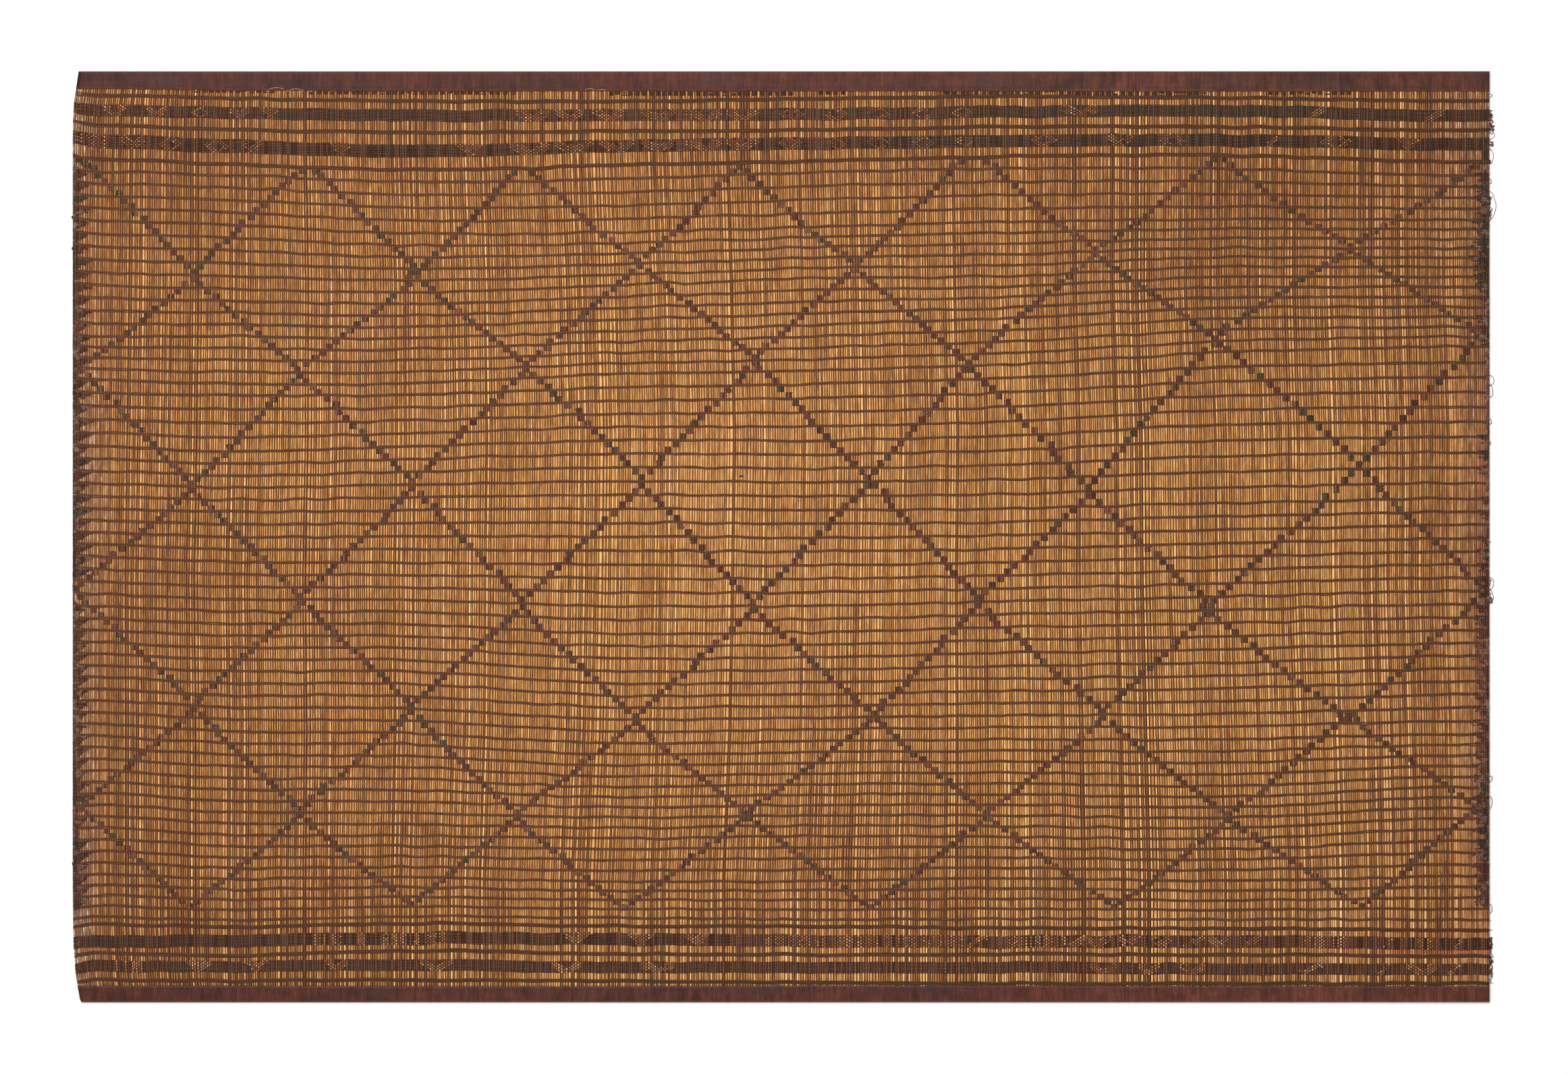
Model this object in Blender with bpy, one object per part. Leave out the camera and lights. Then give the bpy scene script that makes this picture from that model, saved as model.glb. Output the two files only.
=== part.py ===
"""Reed and leather mat, lying flat, built in metres with +Z up.

Reeds run along Y and lie side by side along X. Leather thongs tie them in rows that run along X.
Near both ends of the reeds the rows are wider: thick rows and broad bands. A folded strip of
leather is sewn over each end of the reeds, and a toothed leather strip wraps each side edge.

Places on the mat are given in millimetres by two measures: `across`, from the left edge line to
the right, and `depth`, from the upper edge down. The mat lies on z = 0, centred on the origin.
"""

import math

import bmesh
import bpy

MM = 0.001

# Overall size, in millimetres
MAT_LENGTH = 2729.0  # across the reeds
MAT_DEPTH = 1793.0  # along the reeds
GAP = 0.3  # between pieces that touch
CUT_OVER = 20.0  # how far a cutter runs past what it cuts

# Thickness of the weave, in millimetres
REED_TOP = 4.2
ROW_RISE = 0.8
THICK_RISE = 0.9
BAND_RISE = 1.0
ROW_HALF = 2.4
THICK_HALF = 4.2
LAST_THICK_HALF = 3.2
BAND_HALF = 11.5
RIB_SLOPE = 1.6  # how far the side of a thick row or a band leans in

# Leather, in millimetres
LEATHER = 1.1
LIP_TOP = REED_TOP + GAP + LEATHER
FOLD_BEVEL = 0.8
STRIP_LIP = 10.0  # how far the side strips reach in, under the mat and between their teeth
STRIP_START = 184.0
STRIP_END = 1612.0
LEFT_TOOTH = 31.0
RIGHT_TOOTH = 26.0
TOOTH_UNEVEN = 4.0
TOOTH_RISE = 1.5  # a tooth starts this far above its row and is widest below it
TOOTH_FALL = 2.5

# Loose thongs at the side edges, in millimetres
STRAND = 1.4
STRAND_FLOOR = 0.1
STRAND_ROOT = 0.6
STRAND_STEPS = 8
LOOP_REACH = 13.0
KNOT_REACH = 2.0

CENTRE_ACROSS = (MAT_LENGTH + LOOP_REACH - KNOT_REACH) / 2
CENTRE_DEPTH = MAT_DEPTH / 2

# Where the left edge stands in from the left edge line: depth, inset
LEFT_OUTLINE = (
    (0, 10.0),
    (31, 6.5),
    (57, 2.6),
    (96, 0.0),
    (1552, 0.0),
    (1682, 1.3),
    (1734, 5.2),
    (1760, 9.0),
    (1773, 11.5),
    (1793, 15.5),
)

# Stations across the mat where the depth of every line of the weave is given
STATIONS = (68, 250, 640, 1030, 1420, 1810, 2200, 2590)

# Inner edges of the two folded leather strips, by station
UPPER_LIP = (33, 34, 36, 37, 36, 36, 37, 38)
LOWER_LIP = (1761, 1761, 1762, 1762, 1761, 1761, 1762, 1762)

# Wide lines of the weave: half width, rise, then the depth by station
UPPER_LINES = (
    (THICK_HALF, THICK_RISE, (46, 51, 57, 59, 53, 49, 51, 57)),
    (BAND_HALF, BAND_RISE, (75, 79, 85, 85, 83, 78, 76, 85)),
    (THICK_HALF, THICK_RISE, (104, 111, 117, 116, 113, 107, 107, 113)),
    (BAND_HALF, BAND_RISE, (135, 142, 154, 145, 139, 134, 133, 140)),
    (THICK_HALF, THICK_RISE, (170, 177, 190, 182, 173, 164, 161, 174)),
)
LOWER_LINES = (
    (THICK_HALF, THICK_RISE, (1643, 1648, 1642, 1646, 1647, 1650, 1651, 1654)),
    (BAND_HALF, BAND_RISE, (1676, 1675, 1670, 1671, 1675, 1676, 1676, 1680)),
    (THICK_HALF, THICK_RISE, (1699, 1703, 1694, 1699, 1702, 1700, 1702, 1704)),
    (BAND_HALF, BAND_RISE, (1724, 1725, 1721, 1725, 1726, 1726, 1729, 1730)),
    (LAST_THICK_HALF, THICK_RISE, (1750, 1752, 1750, 1752, 1755, 1757, 1757, 1757)),
)

# Plain rows between them: row number, then the depth by station; the rest lie evenly between
ROW_COUNT = 63
KEY_ROWS = (
    (0, (194, 198, 213, 208, 195, 187, 187, 200)),
    (4, (289, 294, 312, 311, 300, 290, 285, 286)),
    (9, (413, 419, 426, 413, 399, 394, 377, 377)),
    (13, (511, 511, 514, 501, 489, 475, 456, 454)),
    (18, (620, 623, 623, 610, 602, 590, 571, 562)),
    (22, (722, 731, 723, 711, 711, 701, 681, 675)),
    (27, (842, 848, 845, 842, 845, 842, 832, 823)),
    (31, (935, 943, 946, 950, 952, 945, 935, 926)),
    (36, (1054, 1063, 1065, 1082, 1080, 1070, 1063, 1053)),
    (40, (1144, 1154, 1156, 1179, 1177, 1169, 1164, 1151)),
    (45, (1257, 1269, 1275, 1294, 1290, 1287, 1287, 1278)),
    (49, (1346, 1359, 1362, 1378, 1373, 1372, 1377, 1359)),
    (54, (1456, 1468, 1472, 1477, 1473, 1474, 1478, 1460)),
    (58, (1546, 1555, 1552, 1560, 1559, 1555, 1559, 1551)),
    (62, (1628, 1634, 1628, 1630, 1633, 1632, 1633, 1634)),
)

# Loose thongs: depth where it leaves the edge, depth where it comes back, reach beyond the edge
RIGHT_LOOPS = (
    (229, 290, LOOP_REACH),
    (584, 629, 9.0),
    (668, 680, 5.0),
    (974, 1026, 9.0),
    (1357, 1371, 5.0),
    (1396, 1422, 7.0),
)
LEFT_KNOTS = (
    (275, 287, KNOT_REACH),
    (335, 346, KNOT_REACH),
    (1520, 1531, KNOT_REACH),
)

# Colour, roughness
REED_FINISH = ((0.55, 0.31, 0.12), 0.55)
THONG_FINISH = ((0.075, 0.042, 0.03), 0.6)
BINDING_FINISH = ((0.1, 0.038, 0.026), 0.5)


def between(value, pairs):
    """Read a value from (place, value) pairs, straight between them and level outside them."""
    if value <= pairs[0][0]:
        return pairs[0][1]
    for (low, first), (high, last) in zip(pairs, pairs[1:]):
        if value <= high:
            return first + (last - first) * (value - low) / (high - low)
    return pairs[-1][1]


def by_station(across, depths):
    return between(across, tuple(zip(STATIONS, depths)))


def row_depth(row, across):
    return between(row, tuple((key, by_station(across, depths)) for key, depths in KEY_ROWS))


def left_edge(depth):
    return between(depth, LEFT_OUTLINE)


def right_edge(depth):
    return MAT_LENGTH


def beside_strip(depth):
    margin = 2 * ROW_HALF
    return STRIP_START - margin < depth < STRIP_END + margin


def place(across, depth, height):
    """Turn the mat's own measures into metres about the origin."""
    return ((across - CENTRE_ACROSS) * MM, (CENTRE_DEPTH - depth) * MM, height * MM)


def finish(name, shell, material):
    """Turn a bmesh into a named object with its material."""
    bmesh.ops.recalc_face_normals(shell, faces=shell.faces[:])
    mesh = bpy.data.meshes.new(name)
    shell.to_mesh(mesh)
    shell.free()
    mesh.materials.append(material)
    solid = bpy.data.objects.new(name, mesh)
    bpy.context.scene.collection.objects.link(solid)
    return solid


def finish_material(name, colour, roughness):
    material = bpy.data.materials.new(name)
    material.use_nodes = True
    shader = material.node_tree.nodes["Principled BSDF"]
    shader.inputs["Base Color"].default_value = (*colour, 1)
    shader.inputs["Roughness"].default_value = roughness
    shader.inputs["Metallic"].default_value = 0
    return material


def loft(shell, rings):
    """Join rings of the same number of points into one closed solid with flat ends."""
    loops = [[shell.verts.new(place(*point)) for point in ring] for ring in rings]
    for one, two in zip(loops, loops[1:]):
        for side in range(len(one)):
            after = (side + 1) % len(one)
            shell.faces.new((one[side], one[after], two[after], two[side]))
    shell.faces.new(loops[0])
    shell.faces.new(loops[-1][::-1])


def helper(name, rings):
    """A hidden solid that is joined to another or cut out of it."""
    shell = bmesh.new()
    loft(shell, rings)
    solid = finish(name, shell, None)
    solid.hide_render = True
    solid.display_type = "WIRE"
    return solid


def boolean(solid, other, operation):
    modifier = solid.modifiers.new(other.name, "BOOLEAN")
    modifier.operation = operation
    modifier.solver = "EXACT"
    modifier.object = other


def weave_lines():
    """List the lines of points that run across the mat: (depth at a place across, rise)."""

    def rib(depth_at, half, rise, slope):
        if slope:
            offsets = ((-half, 0), (slope - half, rise), (half - slope, rise), (half, 0))
        else:
            offsets = ((-half, 0), (0, rise), (half, 0))
        return [(lambda across, o=offset: depth_at(across) + o, lift) for offset, lift in offsets]

    def wide(table):
        lines = []
        for half, rise, depths in table:
            lines += rib(lambda across, d=depths: by_station(across, d), half, rise, RIB_SLOPE)
        return lines

    end_in = LEATHER + GAP
    lines = [(lambda across: end_in, 0)]
    lines += wide(UPPER_LINES)
    for row in range(ROW_COUNT):
        lines += rib(lambda across, r=row: row_depth(r, across), ROW_HALF, ROW_RISE, 0)
    lines += wide(LOWER_LINES)
    lines.append((lambda across: MAT_DEPTH - end_in, 0))
    return lines


def build_mat(material):
    """The woven mat: one flat solid whose rows and bands are raised in its upper face."""
    lines = weave_lines()
    inner = (LEFT_TOOTH + 1, *STATIONS, MAT_LENGTH - LEFT_TOOTH - 1)
    columns = len(inner) + 2
    shell = bmesh.new()
    bmesh.ops.create_grid(shell, x_segments=columns - 1, y_segments=len(lines) - 1, size=1)
    for vert in shell.verts:
        column = round((vert.co.x + 1) / 2 * (columns - 1))
        depth_at, rise = lines[round((1 - vert.co.y) / 2 * (len(lines) - 1))]
        near_edge = column < 2 or column > columns - 3
        if column == 0:
            depth = depth_at(0)
            across = left_edge(depth)
        elif column == columns - 1:
            depth = depth_at(MAT_LENGTH)
            across = right_edge(depth)
        else:
            across = inner[column - 1]
            depth = depth_at(across)
        if near_edge and beside_strip(depth):
            rise = 0
        vert.co = place(across, depth, REED_TOP + rise)
    rim = [edge for edge in shell.edges if edge.is_boundary]
    walls = bmesh.ops.extrude_edge_only(shell, edges=rim)["geom"]
    for vert in walls:
        if isinstance(vert, bmesh.types.BMVert):
            vert.co.z = 0
    bmesh.ops.holes_fill(shell, edges=[edge for edge in shell.edges if edge.is_boundary], sides=0)
    mat = finish("mat", shell, material)

    for name, rings in mat_recesses():
        boolean(mat, helper(name, rings), "DIFFERENCE")
    return mat


def mat_recesses():
    """The room that the bindings and side strips take: under the mat, and at its sides beside them."""
    under = LEATHER + GAP
    lip = STRIP_LIP + GAP + left_edge(STRIP_END)
    wall = under + left_edge(STRIP_END)
    ends = (
        ("under_upper_binding", -CUT_OVER, max(UPPER_LIP) + GAP),
        ("under_lower_binding", min(LOWER_LIP) - GAP, MAT_DEPTH + CUT_OVER),
    )
    for name, first, last in ends:
        section = ((first, -CUT_OVER), (last, -CUT_OVER), (last, under), (first, under))
        yield name, [
            [(across, depth, height) for depth, height in section]
            for across in (-CUT_OVER, MAT_LENGTH + CUT_OVER)
        ]
    for name, edge, inwards in (("left_side", 0, 1), ("right_side", MAT_LENGTH, -1)):
        section = (
            (-CUT_OVER, -CUT_OVER),
            (lip, -CUT_OVER),
            (lip, under),
            (wall, under),
            (wall, CUT_OVER),
            (-CUT_OVER, CUT_OVER),
        )
        yield name, [
            [(edge + inwards * inset, depth, height) for inset, height in section]
            for depth in (STRIP_START - GAP, STRIP_END + GAP)
        ]


def build_binding(name, outer, towards, lip_depths, material):
    """Leather folded over one end of the reeds: outer is its fold's depth, towards is +1 or -1 inwards."""
    shell = bmesh.new()
    rings = []
    for across in (0, *STATIONS, MAT_LENGTH):
        lip = by_station(across, lip_depths)
        fold = outer + towards * FOLD_BEVEL
        wall = outer + towards * LEATHER
        section = (
            (outer, FOLD_BEVEL),
            (fold, 0),
            (lip, 0),
            (lip, LEATHER),
            (wall, LEATHER),
            (wall, LIP_TOP - LEATHER),
            (lip, LIP_TOP - LEATHER),
            (lip, LIP_TOP),
            (fold, LIP_TOP),
            (outer, LIP_TOP - FOLD_BEVEL),
        )
        rings.append([(max(across, left_edge(depth)), depth, height) for depth, height in section])
    loft(shell, rings)
    return finish(name, shell, material)


def strip_stations(edge_across, tooth):
    """Stations down a side strip: (depth, how far the upper lip reaches in)."""
    stations = [(STRIP_START, STRIP_LIP)]
    for row in range(ROW_COUNT):
        depth = row_depth(row, edge_across)
        reach = tooth + TOOTH_UNEVEN * math.sin(2.1 * row)
        if depth + 3 * TOOTH_FALL < STRIP_END:
            stations.append((depth - TOOTH_RISE, STRIP_LIP))
            stations.append((depth + TOOTH_FALL, min(reach, LEFT_TOOTH)))
    stations.append((STRIP_END, STRIP_LIP))
    return stations


def build_strip(name, edge_at, inwards, tooth, loops, material):
    """A toothed leather strip round one side edge, with the thongs that stand loose from it."""
    edge_across = edge_at(CENTRE_DEPTH)
    shell = bmesh.new()
    rings = []
    for depth, reach in strip_stations(edge_across, tooth):
        edge = edge_at(depth)
        section = (
            (0, 0),
            (STRIP_LIP, 0),
            (STRIP_LIP, LEATHER),
            (LEATHER, LEATHER),
            (LEATHER, LIP_TOP - LEATHER),
            (reach, LIP_TOP - LEATHER),
            (reach, LIP_TOP),
            (0, LIP_TOP),
        )
        rings.append([(edge + inwards * inset, depth, height) for inset, height in section])
    loft(shell, rings)
    strip = finish(name, shell, material)
    for number, (start, end, reach) in enumerate(loops, 1):
        boolean(strip, build_loop(f"{name}_loop_{number}", edge_at, -inwards, start, end, reach), "UNION")
    return strip


def build_loop(name, edge_at, outwards, start, end, reach):
    """One loose thong that leaves the edge, lies on the ground in a bow and comes back."""
    rings = []
    half = STRAND / 2
    for step in range(STRAND_STEPS + 1):
        turn = math.pi * step / STRAND_STEPS
        bow = (reach - half + STRAND_ROOT) * math.sin(turn) - STRAND_ROOT
        depth = start + (end - start) * (1 - math.cos(turn)) / 2
        rise = (reach - half + STRAND_ROOT) * math.cos(turn)
        run = (end - start) * math.sin(turn) / 2
        length = math.hypot(rise, run)
        side = (run / length * half, rise / length * half)
        edge = edge_at(depth)
        ring = []
        for way, height in ((1, 0), (-1, 0), (-1, STRAND), (1, STRAND)):
            ring.append((edge + outwards * (bow + way * side[0]), depth - way * side[1], STRAND_FLOOR + height))
        rings.append(ring)
    return helper(name, rings)


def main():
    for old in list(bpy.data.objects):
        bpy.data.objects.remove(old)
    reed = finish_material("reed", *REED_FINISH)
    thong = finish_material("thong_leather", *THONG_FINISH)
    binding = finish_material("binding_leather", *BINDING_FINISH)
    build_mat(reed)
    build_binding("binding_upper", 0, 1, UPPER_LIP, binding)
    build_binding("binding_lower", MAT_DEPTH, -1, LOWER_LIP, binding)
    build_strip("edge_left", left_edge, 1, LEFT_TOOTH, LEFT_KNOTS, thong)
    build_strip("edge_right", right_edge, -1, RIGHT_TOOTH, RIGHT_LOOPS, thong)


main()
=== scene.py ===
"""The looks of a reed and leather mat that lies flat.

Reeds run down the mat and lie side by side, and leather thongs cross them in rows, thick rows and
broad bands. Small blocks of thong beside the rows draw a lattice of diamonds. Folded leather is
sewn over the reeds' ends, and a toothed wrap of thongs holds each side edge.

Places are in millimetres by two measures, as in the part's own source: `across`, from the left
edge line to the right, and `depth`, from the upper edge down. Heights are above the ground.
"""

import math

import bmesh
import bpy
import numpy as np
from mathutils import Matrix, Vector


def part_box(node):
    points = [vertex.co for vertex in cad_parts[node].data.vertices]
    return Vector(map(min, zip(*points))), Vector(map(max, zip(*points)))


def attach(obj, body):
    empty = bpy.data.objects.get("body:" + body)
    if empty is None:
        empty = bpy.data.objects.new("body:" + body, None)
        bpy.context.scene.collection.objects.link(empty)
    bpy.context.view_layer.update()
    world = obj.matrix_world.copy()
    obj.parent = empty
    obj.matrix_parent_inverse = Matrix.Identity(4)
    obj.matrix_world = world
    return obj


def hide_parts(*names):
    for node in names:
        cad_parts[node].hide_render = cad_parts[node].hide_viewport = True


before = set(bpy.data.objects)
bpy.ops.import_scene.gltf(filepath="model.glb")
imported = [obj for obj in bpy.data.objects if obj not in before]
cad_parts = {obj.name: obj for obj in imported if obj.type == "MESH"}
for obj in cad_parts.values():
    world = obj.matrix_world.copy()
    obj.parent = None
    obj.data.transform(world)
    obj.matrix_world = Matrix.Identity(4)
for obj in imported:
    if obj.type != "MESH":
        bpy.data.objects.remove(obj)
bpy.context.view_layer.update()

BODY = "root"
MM = 0.001

# Edges of the mat, from the frame
MAT_LOW, MAT_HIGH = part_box("mat")
UPPER_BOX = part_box("binding_upper")
LOWER_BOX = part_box("binding_lower")
LEFT = MAT_LOW.x
UPPER = UPPER_BOX[1].y
LENGTH = (MAT_HIGH.x - MAT_LOW.x) / MM
DEPTH = (UPPER_BOX[1].y - LOWER_BOX[0].y) / MM

# The photograph's frame, in millimetres on the mat
VIEW_WIDTH = 3021.2
VIEW_ACROSS = 1370.2
VIEW_DEPTH = 897.0
SENSOR = 36.0
LENS = 85.0

# Stations across the mat where the depth of every line of the weave is given
STATIONS = (68, 250, 640, 1030, 1420, 1810, 2200, 2590)
UPPER_LIP = (34, 36.5, 38.5, 38.5, 38.5, 38.5, 39, 39)
LOWER_LIP = (1761, 1761, 1762, 1762, 1761, 1761, 1762, 1762)
UPPER_LINES = (
    (46, 51, 57, 59, 53, 49, 51, 57),
    (75, 79, 85, 85, 83, 78, 76, 85),
    (104, 111, 117, 116, 113, 107, 107, 113),
    (135, 142, 154, 145, 139, 134, 133, 140),
    (170, 177, 190, 182, 173, 164, 161, 174),
)
LOWER_LINES = (
    (1643, 1648, 1642, 1646, 1647, 1650, 1651, 1654),
    (1676, 1675, 1670, 1671, 1675, 1676, 1676, 1680),
    (1699, 1703, 1694, 1699, 1702, 1700, 1702, 1704),
    (1724, 1725, 1721, 1725, 1726, 1726, 1729, 1730),
    (1750, 1752, 1750, 1752, 1755, 1757, 1757, 1757),
)
ROW_COUNT = 63
KEY_ROWS = {
    0: (194, 198, 213, 208, 195, 187, 187, 200),
    4: (289, 294, 312, 311, 300, 290, 285, 286),
    9: (413, 419, 426, 413, 399, 394, 377, 377),
    13: (511, 511, 514, 501, 489, 475, 456, 454),
    17: (595, 601, 601, 584, 576, 564, 542, 531),
    18: (620, 623, 623, 610, 602, 590, 571, 562),
    22: (722, 731, 723, 711, 711, 701, 681, 675),
    27: (842, 848, 845, 842, 845, 842, 832, 823),
    31: (935, 943, 946, 950, 952, 945, 935, 926),
    36: (1054, 1063, 1065, 1082, 1080, 1070, 1063, 1053),
    40: (1144, 1154, 1156, 1179, 1177, 1169, 1164, 1151),
    45: (1257, 1269, 1275, 1294, 1290, 1287, 1287, 1278),
    49: (1346, 1359, 1362, 1378, 1373, 1372, 1377, 1359),
    54: (1456, 1468, 1472, 1477, 1473, 1474, 1478, 1460),
    58: (1546, 1555, 1552, 1560, 1559, 1555, 1559, 1551),
    62: (1628, 1634, 1628, 1630, 1633, 1632, 1633, 1634),
}
FIRST_ROW = len(UPPER_LINES)
FIRST_LOWER = FIRST_ROW + ROW_COUNT

# Lines of the weave by number, counted from the upper edge
THICK_ROWS = (0, 2, 4, FIRST_LOWER, FIRST_LOWER + 2, FIRST_LOWER + 4)
BANDS = (1, 3, FIRST_LOWER + 1, FIRST_LOWER + 3)

# How far the lines lift or sink where they reach the left edge: depth, then millimetres
LEFT_BEND = (
    (0, 0), (60, -4), (105, -10), (200, -9), (300, -7), (500, -6), (900, -3), (1300, 1), (1500, 3),
    (1700, 5),
)
LEFT_BEND_REACH = 45.0

# Small wander of every line: places where it is given, size, and share that the next line keeps
WANDER_PLACES = 70
WANDER_SIZE = 0.85
WANDER_KEPT = 0.6

# A depth half-way down, where a place across is taken for a whole row or edge
HALF_WAY = 900

# Where the left edge stands in from the left edge line: depth, inset
LEFT_OUTLINE = (
    (0, 12.0), (31, 7.5), (57, 2.6), (96, 0.0), (1552, 0.0),
    (1682, 1.3), (1734, 5.2), (1759, 9.0), (1764, 11.6), (1786, 14.2), (1790.5, 15.6), (1793, 18.5),
)
INSET_FADE = 400.0

# Reeds: how many, how much closer they stand at the left, and how uneven their widths are
REED_COUNT = 621
REED_CROWDING = 0.04
REED_UNEVEN = 0.2

# How far the reeds bow to the right, by depth and station
BOW_DEPTHS = (130, 410, 700, 980, 1270, 1560)
BOW = (
    (0, 0, 0, 0, 0, 0, 0, 0),
    (-3, 0, 8, 10, 6, 2, -2, 1),
    (-7, -3, 10, 17, 11, 9, 7, 10),
    (-10, -8, 6, 14, 7, 7, 10, 8),
    (-10, -5, 7, 9, 3, 11, 18, 15),
    (-10, -5, 1, -3, -7, 13, 27, 19),
)
BOW_FADE = 90.0

# Shape of a reed: half width as a share of its room, half height, middle, sides and rings
REED_FULLNESS = 0.53
REED_HALF_HEIGHT = 1.7
REED_MIDDLE = 2.5
REED_SIDES = 8
REED_DEPTHS = (2, 60, 130, 270, 410, 700, 980, 1270, 1560, 1650, 1742, 1791)

# Tones: spread, how much a reed stands against its neighbours, and contrast down and across
REED_SPREAD = 0.108
REED_AGAINST_NEXT = 0.28
REED_CONTRAST = ((0, 1.45), (190, 1.45), (260, 1.05), (1500, 1.1), (1600, 1.6), (1793, 1.6))
RIGHT_CONTRAST = ((1500, 1.0), (2050, 1.15), (2744, 1.2))

# Reeds that stand out near the ends of the mat: share of all, and how much darker or lighter
DARK_SHARE = 0.13
DARK_REEDS = ((0, -0.3), (190, -0.3), (260, 0.0), (1600, 0.0), (1650, -0.16), (1793, -0.16))
BRIGHT_SHARE = 0.17
BRIGHT_REEDS = ((0, 0.05), (190, 0.05), (260, 0.0), (1600, 0.0), (1650, 0.3), (1793, 0.3))
BRIGHT_ACROSS = ((0, 0.3), (700, 0.5), (1000, 1.2), (2744, 1.1))

# Thongs of the plain rows: half the gap between two, half width, and how far they open, across
ROW_STRAND_GAP = 1.4
STRAND_HALF = 1.35
ROW_OPENING = ((0, 1.18), (300, 1.12), (800, 0.95), (2000, 0.95), (2500, 1.08), (2744, 1.1))
ROW_RINGS = 270

# Every thong: middle of its height, rise above that, small stray, and where it frays at the left
STRAND_MIDDLE = 4.35
STRAND_RISE = 0.65
STRAND_JITTER = 0.2
FRAY_REACH = 30.0

# How thongs part and close along a row: places where it is given, limits, and from how much on
# a row also opens as above
CLOSING_PLACES = 160
CLOSING_LIMITS = (-0.1, 0.45)
OPEN_CLOSING = 0.1

# Thick rows and bands: thongs in each, distance from one to the next, half width and rise
THICK_STRANDS = 3
THICK_PITCH = 2.45
THICK_HALF = 1.35
BAND_STRANDS = 8
BAND_PITCHES = (2.8, 2.96, 2.94, 2.73)
BAND_HALF = 1.75
BAND_RISE = 0.45

# The second band is broader at the left: by how much, and where that starts and ends
SPREAD_BAND = BANDS[1]
SPREAD = 0.15
SPREAD_FROM = 900.0
SPREAD_TO = 200.0

# Colour of the bands by station, from red below 0 to olive above, and how far reeds speckle them
BAND_KINDS = {
    BANDS[0]: (0.0, 0.02, 0.08, -0.03, 0.05, 0.12, 0.16, 0.06),
    BANDS[1]: (-0.05, -0.03, 0.06, 0.02, 0.07, 0.13, 0.1, 0.02),
    BANDS[2]: (0.06, 0.06, 0.01, 0.03, -0.04, -0.05, -0.07, -0.05),
    BANDS[3]: (0.05, 0.09, 0.08, 0.05, -0.03, 0.0, 0.04, 0.02),
}
BAND_SPECKLES = {
    BANDS[0]: (0.2, 0.15, 0.05, 0.6, 0.5, 0.25, 0.25, 0.2),
    BANDS[1]: (0.35, 0.35, 0.15, 0.4, 0.55, 0.3, 0.2, 0.3),
    BANDS[2]: (0.05, 0.1, 0.6, 0.4, 0.7, 0.9, 0.7, 0.7),
    BANDS[3]: (0.15, 0.25, 0.4, 0.4, 0.6, 0.7, 0.7, 0.7),
}

# Colour of the thick rows, from red below 0 to olive above
THICK_KINDS = (0.04, 0.03, 0.02, -0.02, 0.05, 0.16)

# Rows on the underside: rings, half widths under plain rows, thick rows and bands, and height
UNDER_RINGS = 44
UNDER_HALF = 2.2
UNDER_THICK_HALF = 3.2
UNDER_BAND_HALF = 11.0
UNDER_MIDDLE = 0.5
UNDER_RISE = 0.4
UNDER_MARGIN = 14.0

# Shares along a tube of four rings
TUBE_QUARTERS = (0, 1 / 3, 2 / 3, 1)

# Lattice: where its crossings lie, by column and level, and the row of each level
CROSSINGS = (
    {0: 10, 2: 18, 4: 26, 6: 26},
    {1: 233, 3: 230, 5: 234, 7: 226},
    {0: 441, 2: 438, 4: 441, 6: 438},
    {1: 653, 3: 655, 5: 653, 7: 653},
    {0: 865, 2: 875, 4: 865, 6: 854},
    {1: 1091, 3: 1098, 5: 1083, 7: 1061},
    {0: 1284, 2: 1314, 4: 1309, 6: 1295},
    {1: 1509, 3: 1531, 5: 1544, 7: 1537},
    {0: 1737, 2: 1725, 4: 1743, 6: 1759},
    {1: 1971, 3: 1956, 5: 1986, 7: 2007},
    {0: 2216, 2: 2198, 4: 2193, 6: 2227},
    {1: 2461, 3: 2480, 5: 2458, 7: 2483},
    {0: 2705, 2: 2712, 4: 2714, 6: 2700},
)
LEVEL_ROWS = (-1, 8, 16, 25, 34, 43, 52, 61)
ODD_CROSSINGS = {(5, 1): 7, (9, 1): 7, (11, 1): 7, (8, 2): 17, (9, 3): 26, (10, 4): 35}

# Legs of the lattice that stray, by column, level and side: shift at the top and at the foot
STRAY_LEGS = {
    (0, 0, 1): (14, 0), (2, 0, 1): (26, 6), (3, 1, -1): (-6, 0), (4, 0, -1): (-15, 0),
    (4, 0, 1): (20, 0), (8, 0, -1): (-25, -5), (8, 0, 1): (22, 0), (10, 0, -1): (-17, 0),
    (10, 2, 1): (10, 0), (8, 2, -1): (-5, 0), (8, 2, 1): (5, 0), (7, 1, -1): (-5, 0),
    (1, 3, -1): (0, -22), (7, 3, 1): (15, 5), (9, 3, 1): (10, 0), (11, 3, -1): (-17, -10),
    (11, 3, 1): (12, 5), (0, 4, 1): (-10, 0), (6, 4, 1): (6, 0), (10, 4, -1): (-10, -5),
    (5, 5, 1): (4, 4), (7, 5, -1): (-8, 0), (7, 5, 1): (4, 0), (0, 6, 1): (-10, 0),
    (6, 6, 1): (10, 0), (8, 6, 1): (8, 0),
}

# Legs whose ends hang on other rows than their crossings: the row at the top and at the foot
ODD_LEGS = {(2, 0, 1): (-1, 7), (3, 1, 1): (7, 16), (10, 4, 1): (35, 44), (12, 4, -1): (34, 44)}

# Blocks of the lattice: width, thongs and their half width, then distances as shares of a row's
BLOCK_WIDTH = 13.6
BLOCK_STRANDS = 4
BLOCK_HALF = 1.7
BLOCK_NEAR = 0.135
BLOCK_PITCH = 0.106

# Share of the blocks that are olive, from left to right
OLIVE_BLOCKS = ((0, 0.45), (700, 0.35), (1200, 0.12), (2000, 0.15), (2700, 0.3))

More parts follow.
